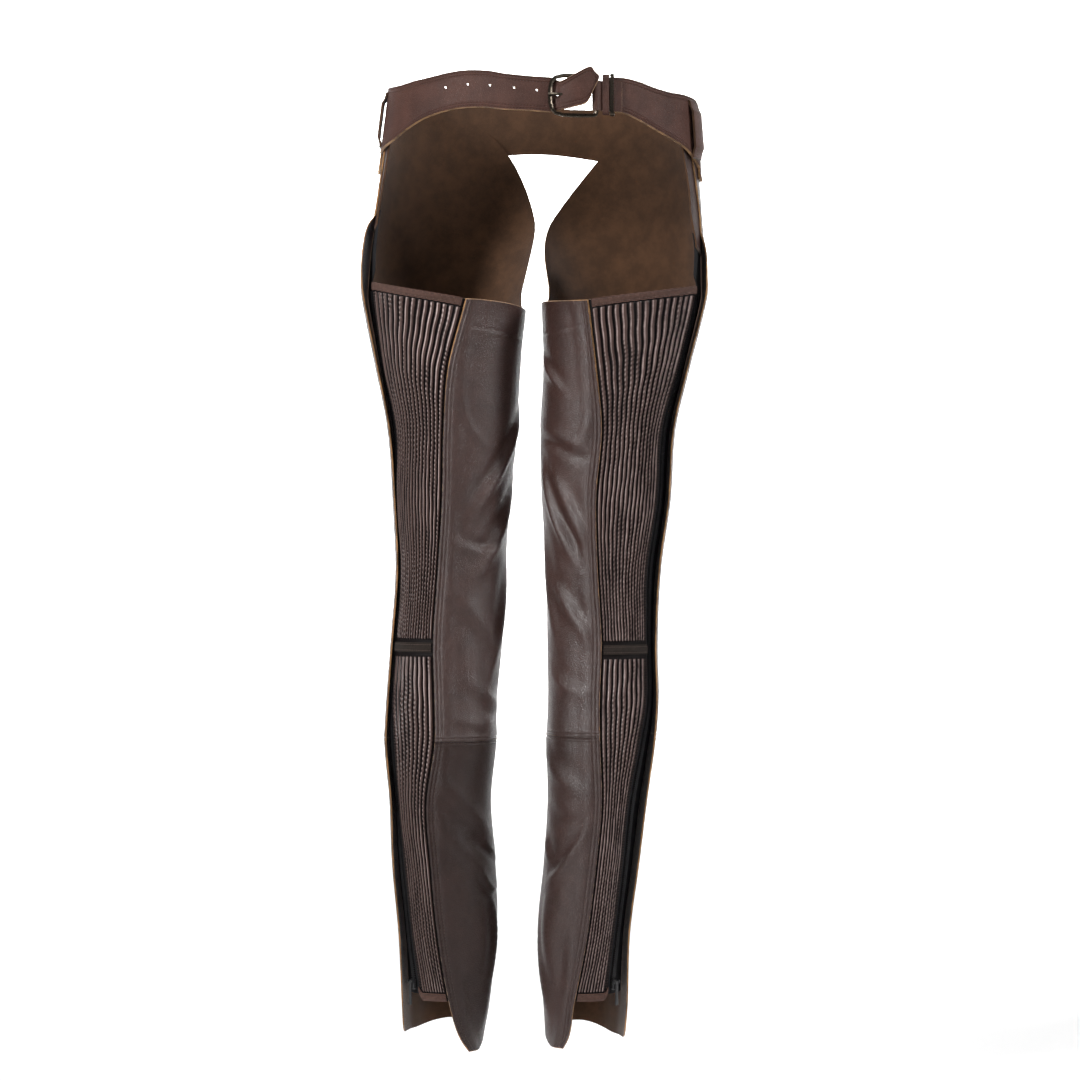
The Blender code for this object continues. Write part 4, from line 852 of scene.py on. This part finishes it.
def knit_finish(name, tone):
    """A fine ribbed knit: small stitches in rows, matt and a little fuzzy."""
    material, place, shader = new_finish(name, Roughness=0.85, Specular_IOR_Level=0.15, Sheen_Weight=0.06)
    ribs = place.node("ShaderNodeTexWave", {"bands_direction": "Z"},
                      {"Vector": place, "Scale": 260.0, "Distortion": 1.2, "Detail Scale": 40.0})
    ribs = ribs.node("ShaderNodeRGBToBW", {}, {0: ribs})
    fuzz = place.noise(430.0, 5.0, 0.8)
    loops = ribs * 0.4 + fuzz * 0.6
    base = loops.between(0.35, 0.65).blend(colour(tone, 0.2), colour(tone, 1.7))
    bump = place.node("ShaderNodeBump", {}, {"Strength": 0.7, "Distance": 0.0004, "Height": loops})
    feed(shader, Base_Color=base, Normal=bump)
    return material


knit_binding = knit_finish("knit_binding", KNIT_BROWN)
knit_band = knit_finish("knit_band", BAND_BROWN)
STRIP_CUTS = {
    "top_binding": {"flat": (0.01, 0.115), "area": 0.00105},
    "cross_band": {"flat": (0.01, 0.055), "area": 0.00055},
    "bottom_binding": {"flat": (0.01, 0.035), "area": 0.0003},
}


def strip_point(leg, share, height, step, extra):
    """Points on a binding: a low dome from its upper to its lower edge."""
    dome = BINDING_DOME * np.sin(np.pi * step)
    return leg.point(stretch_angle(leg, share, height), height, BINDING_LAYER + dome + extra)


def strip_edges(leg, title, share):
    """Heights of the upper and lower edge of a binding or of the cross band."""
    if title == "cross_band":
        band = leg.level["cross_band"] + 0.0 * share
        return band + BAND_HEIGHT / 2, band - BAND_HEIGHT / 2
    if title == "top_binding":
        top = seat_edge(leg, share) + BINDING_OVERLAP
        return top, top - BINDING_HEIGHT
    bottom = foot_edge(leg, share)
    return bottom + BINDING_HEIGHT - BINDING_OVERLAP, bottom - BINDING_OVERLAP


for leg in LEGS:
    for title, cut in STRIP_CUTS.items():
        finish = knit_band if title == "cross_band" else knit_binding
        margin, pleated = np.linspace(-1.0, 0.0, 8, endpoint=False), np.linspace(0.0, 0.985, 90)
        share = np.concatenate([margin, pleated])[None, :]
        step = np.linspace(0.0, 1.0, 9)[:, None]
        height = mix(*strip_edges(leg, title, share), step)
        share = np.broadcast_to(share, height.shape)
        outer = strip_point(leg, share, height, step, BINDING - BINDING_DOME)
        inner = leg.point(stretch_angle(leg, share, height), height, BINDING_LAYER)
        piece = shell(f"{title}_knit_{leg.name}", outer, inner, [finish] * 3,
                      slot="knit_binding", stands_for=[f"{title}_{leg.name}"])
        rows = []
        across = np.linspace(-0.9, 0.97, 80)
        for edge in BINDING_STITCH_ROWS:
            line = mix(*strip_edges(leg, title, across), edge)
            rows.append([strip_point(leg, across, line, edge, BINDING - BINDING_DOME + lift)
                         for lift in (0.0, 1.0)])
        name = f"{title}_stitches_{leg.name}"
        seams = stitch_mesh(name, rows, brown_thread, pitch=2.6, length=1.9, radius=0.26)

# Hip strips
# A tongue of the same leather that carries the outer edge from the waistband down to the top of the zip,
# sewn under the thigh panel.
STRIP_WIDTH = 12.0
STRIP_SLANT = 8.0
STRIP_CUT_BACK = (0.035, 0.985)


def hip_strip_point(leg, share, step, extra):
    """Points on a hip strip: across it by share, and down it by step."""
    height = mix(leg.level["waist"], leg.level["strip_end"] - STRIP_SLANT * share, step)
    start = leg.rear_angle("edge", height)
    finish = np.maximum(-leg.at("turn", height) + leg.degrees(STRIP_WIDTH, height), start + 3.0)
    return leg.point(mix(start, finish, share), height, PANEL_LAYER + extra)


for leg in LEGS:
    share, step = np.linspace(0.0, 1.0, 25)[None, :], np.linspace(0.0, 1.0, 60)[:, None]
    inner = hip_strip_point(leg, share, step, 0.0)
    side, end = STRIP_CUT_BACK
    outer = hip_strip_point(leg, mix(side, 1.0, share), mix(0.0, end, step), LEATHER)
    strip = shell(f"hip_leather_{leg.name}", outer, inner, [chocolate_leather, brown_suede, brown_suede],
                  slot="brown_leather", stands_for=[f"hip_strip_{leg.name}"])

# Zips
# A black coil zip down the outer back of each leg: one tape inside the flap, one under the margin of the
# stretch panel, with the coil between. The slider rests near the foot, and its tab swings on a pin.
TAPE = 1.0
TAPE_LAYER = 0.0
TAPE_END = 8.0
CHAIN_OFFSET = 8.0
CHAIN_WIDTH = 6.0
CHAIN_LAYER = 1.3
CHAIN_THICK = 2.2
SLIDER_HEIGHT = -955.0
SLIDER_TALL = 11.0
TOOTH_PITCH = 2.2
TOOTH_INNER_REACH = -0.6
TOOTH_SECTION = ((-0.42, 0.0), (-0.42, 0.8), (-0.2, 1.0), (0.2, 1.0), (0.42, 0.8), (0.42, 0.0))
STRETCH_TAPE_LAP = 7.0
TAPE_BLACK = (0.009, 0.009, 0.01)
ZIP_BLACK = (0.013, 0.013, 0.014)


def tape_finish():
    """Woven black tape with a fine herringbone."""
    material, place, shader = new_finish("black_tape", Roughness=0.85, Specular_IOR_Level=0.25)
    weave = place.node("ShaderNodeTexWave", {"bands_direction": "DIAGONAL"},
                       {"Vector": place, "Scale": 420.0})
    weave = weave.node("ShaderNodeRGBToBW", {}, {0: weave}) * 0.7 + place.noise(1200.0) * 0.3
    base = weave.blend(colour(TAPE_BLACK, 0.6), colour(TAPE_BLACK, 2.2))
    bump = place.node("ShaderNodeBump", {}, {"Strength": 0.6, "Distance": 0.0003, "Height": weave})
    feed(shader, Base_Color=base, Normal=bump)
    return material


def coil_finish():
    """Black nylon of the coil, slider and tab."""
    material, place, shader = new_finish("black_zip", Specular_IOR_Level=0.5)
    scuffs = place.noise(500.0, 4.0, 0.6)
    base = scuffs.blend(colour(ZIP_BLACK, 0.7), colour(ZIP_BLACK, 1.6))
    feed(shader, Base_Color=base, Roughness=0.3 + scuffs * 0.25)
    return material


black_tape = tape_finish()
black_zip = coil_finish()


def chain_angle(leg, height):
    """Angle of the middle of the coil."""
    return leg.rear_angle("edge", height) + leg.degrees(CHAIN_OFFSET, height)


for leg in LEGS:
    corner, foot = leg.level["zip_corner"], leg.level["foot"] + 6.0
    height = np.linspace(leg.level["strip_end"] + 16.0, foot, 200)[:, None]
    border = leg.rear_angle("edge", height)
    inside = leg.degrees(CHAIN_OFFSET + SEAM_GAP, height) * ramp(corner + 14.0, corner + 2.0, height)
    angle = mix(border + inside, TAPE_END, np.linspace(0.0, 1.0, 9)[None, :])
    flap_tape = shell(f"flap_tape_{leg.name}", leg.point(angle, height, TAPE_LAYER + TAPE),
                      leg.point(angle, height, TAPE_LAYER), [black_tape] * 3,
                      slot="black_tape", stands_for=[f"zip_tape_flap_{leg.name}"])
    height = np.linspace(corner, foot, 190)[:, None]
    border = chain_angle(leg, height) - leg.degrees(SEAM_GAP, height)
    lap = leg.rear_angle("edge", height) - leg.degrees(STRETCH_TAPE_LAP, height)
    angle = mix(lap, border, np.linspace(0.0, 1.0, 6)[None, :])
    stretch_tape = shell(f"stretch_tape_{leg.name}", leg.point(angle, height, TAPE_LAYER + TAPE),
                         leg.point(angle, height, TAPE_LAYER), [black_tape] * 3,
                         slot="black_tape", stands_for=[f"zip_tape_stretch_{leg.name}"])

    bottom = SLIDER_HEIGHT + SLIDER_TALL / 2 + SEAM_GAP
    stations = np.arange(bottom + 1.0, corner - BINDING_HEIGHT, TOOTH_PITCH)
    points = []
    sides = len(TOOTH_SECTION)
    for side in (-1, 1):
        middle = stations + (TOOTH_PITCH / 2 if side > 0 else 0.0)
        tooth = []
        for reach in (TOOTH_INNER_REACH, CHAIN_WIDTH / 2)[::-side * leg.side]:
            turn = chain_angle(leg, middle) + leg.degrees(side * reach, middle)
            tooth += [leg.point(turn, middle + up * TOOTH_PITCH, CHAIN_LAYER + out * CHAIN_THICK)
                      for up, out in TOOTH_SECTION]
        points.append(np.stack(tooth, axis=1).reshape(-1, 3))
    tooth_faces = np.array([[k, (k + 1) % sides, sides + (k + 1) % sides, sides + k] for k in range(sides)])
    caps = np.array([[0, 1, 2, 3], [0, 3, 4, 5]])
    tooth_faces = np.concatenate([tooth_faces, caps[:, ::-1], caps + sides])
    teeth = sum(len(group) for group in points) // (2 * sides)
    faces = (tooth_faces + np.arange(teeth)[:, None, None] * 2 * sides).reshape(-1, 4)
    mesh_piece(f"zip_coil_{leg.name}", np.concatenate(points), faces, [black_zip], slot="black_zip",
               stands_for=[f"zip_chain_{leg.name}"])
    for title in ("zip_slider", "zip_pull"):
        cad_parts[f"{title}_{leg.name}"].material_slots[0].material = black_zip

# Belt
# Firm reddish-brown leather, 2.2 mm thick, sewn double along both edges: the left strap with its punched
# holes and pointed tip, the short right wing, and a plain band round the front.
BELT_LEATHER = 2.2
BELT_LAYER = 5.9
BELT_COLUMNS = ("turn", "top", "bottom")
LEFT_STRAP_ROWS = (
    (-181.0, 6.0, -64.0),
    (-170.0, 5.0, -61.0),
    (-156.0, 4.0, -54.0),
    (-145.0, 6.4, -43.0),
    (-136.0, 8.5, -34.5),
    (-122.6, 13.0, -27.6),
    (-111.6, 12.3, -27.0),
    (-104.0, 8.5, -29.7),
    (-96.4, 5.8, -31.0),
    (-87.0, 3.8, -33.0),
)
RIGHT_WING_ROWS = (
    (-67.0, 4.6, -31.6),
    (-58.6, 5.4, -32.6),
    (-52.0, 2.7, -38.8),
    (-43.8, -2.6, -48.0),
    (-35.6, -5.5, -55.5),
    (-25.4, -6.0, -64.0),
    (-10.1, -7.5, -82.0),
)
FRONT_BAND_ROWS = (
    (-9.9, -7.5, -93.0),
    (5.0, -8.0, -94.0),
    (35.0, -8.0, -84.0),
    (65.0, -4.0, -62.0),
    (90.0, -1.0, -52.0),
    (115.0, 3.0, -58.0),
    (145.0, 6.0, -76.0),
    (178.8, 6.0, -86.0),
)
TIP_COLUMNS = ("foot_x", "foot_z", "head_x", "head_z", "out")
TIP_ROWS = (
    (12.6, -32.6, 12.6, 3.0, 5.9),
    (16.4, -31.4, 16.0, 0.6, 7.4),
    (21.4, -30.6, 20.0, 0.2, 10.4),
    (33.0, -28.0, 33.0, 6.6, 14.6),
    (47.0, -23.3, 50.1, 15.0, 16.3),
    (54.4, -9.4, 56.0, 10.0, 16.5),
    (60.4, 2.6, 60.8, 5.4, 16.5),
)
HOLE_SPOTS = ((-103.0, -3.5), (-79.5, -1.5), (-56.0, -3.5), (-30.3, -6.5), (-6.3, -9.5))
HOLE_RADIUS = 1.4
FUZZ_RADIUS = 1.05
FUZZ_TURNS = (-50.0, 130.0)
FUZZ_DEPTH = 1.0
PRONG_SLOT = (13.6, 21.0)
PRONG_SLOT_HEIGHT = 2.6
PRONG_HEIGHT = -14.5
HOLE_PUNCH = (-3.0, 7.0)
SLOT_PUNCH = (1.0, 24.0)
BELT_CUT_SLOPE = 1.0
BELT_EDGE_REACH = 8.8
BELT_EDGE_PITCH = 0.8
TIP_PUFF = 1.1
BELT_STITCH_ROWS = (2.4, 5.6)
BELT_RED_BROWN = (0.072, 0.032, 0.024)

belt_leather = leather_finish("belt_leather", BELT_RED_BROWN, 0.5, 700.0, 0.2)


def hip_point(turn, height, out):
    """Points round the waist, out from the hips' form, in metres."""
    turn, height, out = np.broadcast_arrays(turn, height, out)
    middle, half, depth = hip_axes(height)
    angle = np.radians(turn)
    normal_x, normal_y = np.cos(angle) / half, np.sin(angle) / depth
    length = np.hypot(normal_x, normal_y)
    x = middle + half * np.cos(angle) + normal_x / length * out
    y = depth * np.sin(angle) + normal_y / length * out
    return np.stack([x, y, height], axis=-1) * MM


def back_point(x, height, out):
    """Points of the back at a given X, out from the hips' form."""
    middle, half, _ = hip_axes(height)
    return hip_point(-np.degrees(np.arccos((x - middle) / (half + out))), height, out)


def belt_rows(tall):
    """Distances down a belt piece, close together along its two sewn edges."""
    squeeze = np.minimum(1.0, tall / (2.4 * BELT_EDGE_REACH))
    near = np.arange(0.0, BELT_EDGE_REACH, BELT_EDGE_PITCH)[:, None] * squeeze
    reach = BELT_EDGE_REACH * squeeze
    middle = mix(reach, tall - reach, np.linspace(0.0, 1.0, 8)[:, None])
    return np.concatenate([near, middle, (tall - near)[::-1]])


def double_sewn(drop, tall, lift):
    """How far out a belt's grain side lies: the leather, and the grooves and ridges of its two edges."""
    return BELT_LEATHER + lift + seam_profile(np.minimum(drop, tall - drop), *BELT_STITCH_ROWS)


def belt_point(rows, turn, drop, lift=None):
    """Points on a belt piece, a distance down from its top edge. With a lift they are on its outer face."""
    top, bottom = (column(BELT_COLUMNS, rows, name, turn) for name in ("top", "bottom"))
    out = BELT_LAYER
    if lift is not None:
        out = out + double_sewn(drop, top - bottom, lift)
    return hip_point(turn, top - drop, out)


def belt_tall(rows, turn):
    """A belt piece's width, from its top to its bottom edge."""
    return column(BELT_COLUMNS, rows, "top", turn) - column(BELT_COLUMNS, rows, "bottom", turn)


def tip_value(name, place):
    """A column of the strap tip's rows, at a place counted in rows."""
    rows = [(index, *row) for index, row in enumerate(TIP_ROWS)]
    return column(("place", *TIP_COLUMNS), rows, name, place)


def tip_tall(place):
    """The tip's width, from its head to its foot."""
    return np.hypot(tip_value("head_x", place) - tip_value("foot_x", place),
                    tip_value("head_z", place) - tip_value("foot_z", place))


def tip_point(place, drop, lift=None):
    """Points on the strap's puffed tip, a distance down from its head."""
    tall = tip_tall(place)
    step = drop / tall
    out = tip_value("out", place)
    if lift is not None:
        puff = TIP_PUFF * np.sin(np.pi * step) * ramp(0.0, 1.5, place) * ramp(6.0, 4.6, place)
        out = out + puff + double_sewn(drop, tall, lift)
    return back_point(mix(tip_value("head_x", place), tip_value("foot_x", place), step),
                      mix(tip_value("head_z", place), tip_value("foot_z", place), step), out)


def rounded(wave, power):
    """A sine or cosine squared up, for a round shape with flatter sides."""
    return np.sign(wave) * np.abs(wave) ** power


def belt_face(rows, turn, cut, lift=None):
    """A face of a belt piece. cut draws its lower edge in, so that the raw leather shows there."""
    tall = belt_tall(rows, turn)
    return belt_point(rows, turn, belt_rows(tall) * (1.0 - cut / tall), lift)


def strap_face(cut, lift=None):
    """A face of the left strap: the band round the back, then the tip through the buckle."""
    turn = np.linspace(LEFT_STRAP_ROWS[0][0], LEFT_STRAP_ROWS[-1][0], 130)[None, :]
    place = np.linspace(0.0, len(TIP_ROWS) - 1.0 - cut / 10.0, 60)[None, :]
    tall = tip_tall(place)
    return np.concatenate([belt_face(LEFT_STRAP_ROWS, turn, cut, lift),
                           tip_point(place, belt_rows(tall) * (1.0 - 2.0 * cut / tall) + cut, lift)], axis=1)


belt_finishes = [belt_leather, brown_suede, raw_edge]
strap = shell("left_strap_leather", strap_face(BELT_CUT_SLOPE, 0.0), strap_face(0.0), belt_finishes,
              slot="brown_leather", stands_for=["belt_left"])
sides = 20
turn = np.linspace(0.0, 2 * np.pi, sides, endpoint=False)
punch_points = []
for x, height in HOLE_SPOTS:
    round_x, round_height = x + HOLE_RADIUS * np.cos(turn), height + HOLE_RADIUS * np.sin(turn)
    punch_points += [back_point(round_x, round_height, BELT_LAYER + out) for out in HOLE_PUNCH]
low, high = PRONG_SLOT
slot_x = (low + high) / 2 + (high - low) / 2 * rounded(np.cos(turn), 0.4)
slot_height = PRONG_HEIGHT + PRONG_SLOT_HEIGHT / 2 * rounded(np.sin(turn), 0.6)
punch_points += [back_point(slot_x, slot_height, out) for out in SLOT_PUNCH]
faces = []
ring = range(sides)
for near in range(0, sides * len(punch_points), sides * 2):
    far = near + sides
    faces += [(near + k, near + (k + 1) % sides, far + (k + 1) % sides, far + k) for k in ring]
    faces += [tuple(near + k for k in reversed(ring)), tuple(far + k for k in ring)]
punch_mesh = bpy.data.meshes.new("belt_punch")
punch_mesh.from_pydata(np.concatenate(punch_points), [], faces)
punch = bpy.data.objects.new("belt_punch", punch_mesh)
bpy.context.collection.objects.link(punch)
holes = strap.modifiers.new("holes", "BOOLEAN")
holes.object = punch
depsgraph = bpy.context.evaluated_depsgraph_get()
cut_mesh = bpy.data.meshes.new_from_object(strap.evaluated_get(depsgraph))
strap.modifiers.clear()
strap.data = cut_mesh
bpy.data.objects.remove(punch)

belt_parts = {"belt_left": strap}
for title, node, rows, across in (("right_wing_leather", "belt_right", RIGHT_WING_ROWS, 80),
                                  ("front_band_leather", "front_waistband", FRONT_BAND_ROWS, 190)):
    turn = np.linspace(rows[0][0], rows[-1][0], across)[None, :]
    belt_parts[node] = shell(title, belt_face(rows, turn, BELT_CUT_SLOPE, 0.0), belt_face(rows, turn, 0.0),
                             belt_finishes, slot="brown_leather", stands_for=[node])

belt_lines = []
for rows, start, end in ((LEFT_STRAP_ROWS, -180.0, -87.2), (RIGHT_WING_ROWS, -66.5, -11.0),
                         (FRONT_BAND_ROWS, -9.0, 178.0)):
    turn = np.linspace(start, end, 240)
    for inset in BELT_STITCH_ROWS:
        belt_lines.append(stitch_row(belt_point, rows, turn, inset))
        belt_lines.append(stitch_row(belt_point, rows, turn, belt_tall(rows, turn) - inset))
place = np.linspace(0.1, 5.1, 120)
for inset in BELT_STITCH_ROWS:
    belt_lines.append(stitch_row(tip_point, place, inset))
    belt_lines.append(stitch_row(tip_point, place, tip_tall(place) - inset))
belt_stitches = stitch_mesh("belt_stitches", belt_lines, brown_thread)

# Torn fibres of the flesh side stand in the upper right of each punched hole.
turn = np.radians(np.linspace(*FUZZ_TURNS, 24))
fuzz_lines = []
for x, height in HOLE_SPOTS:
    arc_x, arc_height = x + FUZZ_RADIUS * np.cos(turn), height + FUZZ_RADIUS * np.sin(turn)
    fuzz_lines.append([back_point(arc_x, arc_height, BELT_LAYER + BELT_LEATHER - FUZZ_DEPTH + lift)
                       for lift in (0.0, 1.0)])
hole_fuzz = stitch_mesh("hole_fuzz", fuzz_lines, raw_edge, pitch=0.8, length=1.7, radius=0.62)
for node, piece in belt_parts.items():
    with_pieces = [belt_stitches, hole_fuzz] if node == "belt_left" else []

# Keepers and chape
# The right wing's end folds round the buckle's bar. A leather keeper and a bronze one hold the layers.
CHAPE_FOLD = 3.9
CHAPE_TOP_RUN = ((84.0, 9.4), (76.0, 9.4), (67.0, 9.4), (62.7, 9.9))
CHAPE_END = (61.6, 6.9)
CHAPE_HEIGHTS = (-30.8, 0.6)
CHAPE_LEATHER = 1.8
BUCKLE_BAR_X = 57.0
BUCKLE_OUT = 10.7
LEATHER_KEEPER = {"span": (63.4, 70.4), "heights": (-33.2, 6.4), "reach": (4.4, 11.6), "wall": 1.6}
METAL_KEEPER = {"span": (71.6, 75.6), "heights": (-33.8, 7.0), "reach": (4.2, 11.8), "wall": 2.0}
BRONZE = (0.17, 0.14, 0.11)


def bronze_finish():
    """Antique bronze: dark, lighter in random patches where the bright metal shows."""
    material, place, shader = new_finish("dark_bronze", Metallic=1.0)
    wear_and_painted_highlight = place.noise(240.0, 3.0, 0.6).between(0.5, 0.8)
    base = wear_and_painted_highlight.blend(colour(BRONZE, 0.45), colour(BRONZE, 1.3))
    feed(shader, Base_Color=base, Roughness=0.3 - wear_and_painted_highlight * 0.1)
    return material


dark_bronze = bronze_finish()
fold = np.radians(np.arange(45, 271, 9))
bend = zip(BUCKLE_BAR_X + CHAPE_FOLD * np.cos(fold), BUCKLE_OUT + CHAPE_FOLD * np.sin(fold))
path = np.array([*CHAPE_TOP_RUN, *bend, CHAPE_END])
along = np.gradient(path, axis=0)
along /= np.linalg.norm(along, axis=1)[:, None]
side_x, side_out = along[:, 1], -along[:, 0]
height = mix(*CHAPE_HEIGHTS, np.linspace(0.0, 1.0, 14))[:, None]
chape_faces = [back_point(path[:, 0] + side * side_x * CHAPE_LEATHER / 2, height,
                          path[:, 1] + side * side_out * CHAPE_LEATHER / 2) for side in (1, -1)]
chape = shell("chape_leather", chape_faces[0], chape_faces[1], belt_finishes, slot="brown_leather",
              stands_for=["buckle_chape"])

for name, keeper, finishes, node, slot in (
        ("leather_keeper_loop", LEATHER_KEEPER, belt_finishes, "keeper_leather", "brown_leather"),
        ("metal_keeper_loop", METAL_KEEPER, [dark_bronze] * 3, "keeper_metal", "dark_bronze")):
    low, high = keeper["heights"]
    near, far = keeper["reach"]
    middle = ((low + high) / 2, (near + far) / 2)
    half = ((high - low) / 2, (far - near) / 2)
    turn = np.linspace(0.0, 2 * np.pi, 64, endpoint=False)
    faces = []
    for grow in (keeper["wall"], 0.0):
        tall = middle[0] + (half[0] + grow) * rounded(np.cos(turn), 0.35)
        out = middle[1] + (half[1] + grow) * rounded(np.sin(turn), 0.55)
        x = mix(*keeper["span"], np.linspace(0.0, 1.0, 6))[:, None]
        faces.append(back_point(x, tall[None, :], out[None, :]))
    loop = shell(name, faces[0], faces[1], finishes, closed=True, slot=slot, stands_for=[node])
    node == "keeper_leather"

# Buckle
# A cast frame of antique bronze with rounded corners, and a prong that turns on its near bar.
for node in ("buckle_frame", "buckle_prong"):
    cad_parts[node].material_slots[0].material = dark_bronze

# Hip loops
# A band of belt leather standing on each hip, sewn down at its top and bottom.
HIP_LOOPS = {
    "left": {"turns": (-186.5, -173.5), "heights": (-58.0, 2.0)},
    "right": {"turns": (-20.5, -7.0), "heights": (-73.0, -10.5)},
}
LOOP_WALL = 2.0
LOOP_STAND = 3.4
LOOP_CUT_BACK = {"side": 0.03, "end": 1.0}
for name, loop in HIP_LOOPS.items():
    low, high = loop["heights"]
    step = np.linspace(0.0, 1.0, 50)[:, None]
    share = np.linspace(0.0, 1.0, 20)[None, :]
    stand = LOOP_STAND * np.minimum(1.0, 3.2 * np.sin(np.pi * step) ** 2)
    out = BELT_LAYER + BELT_LEATHER + SEAM_GAP + stand
    inner = hip_point(mix(*loop["turns"], share), mix(high, low, step), out)
    side, end = LOOP_CUT_BACK["side"], LOOP_CUT_BACK["end"]
    turn = mix(*loop["turns"], mix(side, 1.0 - side, share))
    outer = hip_point(turn, mix(high - end, low + end, step), out + LOOP_WALL)
    finishes = [belt_leather, brown_suede, brown_suede]
    band = shell(f"hip_loop_leather_{name}", outer, inner, finishes, slot="brown_leather",
                 stands_for=[f"hip_loop_{name}"])

# Floor, light and camera
# A pale studio: the chaps hang clear of a white floor, between soft lights, seen from straight behind.
FLOOR_HEIGHT = -1100.0
AIR_STRENGTH = 0.08
CAMERA_DISTANCE = 4000.0
CAMERA_SPOT = (-3.2, -480.6)
LENS_MM = 123.5
WHITE = (0.9, 0.9, 0.9)
SWEEP = ((-1.6, 0.0), (3.0, 0.0), (4.0, 0.15), (4.7, 0.7), (5.0, 1.6), (5.0, 6.0))
floor_finish, floor_place, floor_shader = new_finish("studio_white", Roughness=0.9, Specular_IOR_Level=0.2,
                                                     Emission_Color=colour(WHITE), Emission_Strength=0.6)
feed(floor_shader, Base_Color=floor_place.noise(3.0).blend(colour(WHITE), colour(WHITE, 0.985)))
studio_points = [(x, y, z + FLOOR_HEIGHT * MM) for y, z in SWEEP for x in (-6.0, 6.0)]
studio_faces = [(k, k + 1, k + 3, k + 2) for k in range(0, len(studio_points) - 2, 2)]
studio_mesh = bpy.data.meshes.new("studio_floor")
studio_mesh.from_pydata(studio_points, [], studio_faces)
studio_mesh.materials.append(floor_finish)
studio_mesh.shade_smooth()
studio_floor = bpy.data.objects.new("studio_floor", studio_mesh)
bpy.context.collection.objects.link(studio_floor)

world = bpy.data.worlds.new("studio_air")
world.use_nodes = True
air = world.node_tree.nodes["Background"]
air.inputs["Color"].default_value = (1.0, 1.0, 1.0, 1.0)
air.inputs["Strength"].default_value = AIR_STRENGTH
bpy.context.scene.world = world
bpy.context.scene.view_settings.view_transform = "Standard"

GRID_SPREAD = 60.0
LIGHTS = {
    "key_softbox": {"spot": (-2.3, -2.2, 0.8), "aim": (0.0, 0.0, -0.1), "size": (0.5, 1.3), "watts": 15.0},
    "side_softbox": {"spot": (3.0, -0.9, 0.9), "aim": (0.0, 0.0, 0.1), "size": (0.5, 1.3), "watts": 9.0},
    "top_softbox": {"spot": (0.6, -2.0, 2.2), "aim": (0.0, 0.0, -0.1), "size": (1.6, 1.0), "watts": 4.0},
    "wall_wash": {"spot": (0.0, 1.6, 2.6), "aim": (0.0, 5.0, 0.2), "size": (4.0, 0.6), "watts": 160.0},
}
for name, light in LIGHTS.items():
    lamp = bpy.data.lights.new(name, "AREA")
    lamp.shape = "RECTANGLE"
    lamp.size, lamp.size_y = light["size"]
    lamp.energy = light["watts"]
    lamp.spread = math.radians(GRID_SPREAD)
    holder = bpy.data.objects.new(name, lamp)
    bpy.context.collection.objects.link(holder)
    holder.location = light["spot"]
    across, along, up = (goal - spot for goal, spot in zip(light["aim"], light["spot"]))
    holder.rotation_euler = (math.atan2(math.hypot(across, along), -up), 0.0, math.atan2(-across, along))

camera_data = bpy.data.cameras.new("photo_camera")
camera_data.lens = LENS_MM
camera_data.sensor_width = 36.0
camera = bpy.data.objects.new("photo_camera", camera_data)
bpy.context.collection.objects.link(camera)
camera.location = (CAMERA_SPOT[0] * MM, -CAMERA_DISTANCE * MM, CAMERA_SPOT[1] * MM)
camera.rotation_euler = (math.pi / 2, 0.0, 0.0)
bpy.context.scene.camera = camera
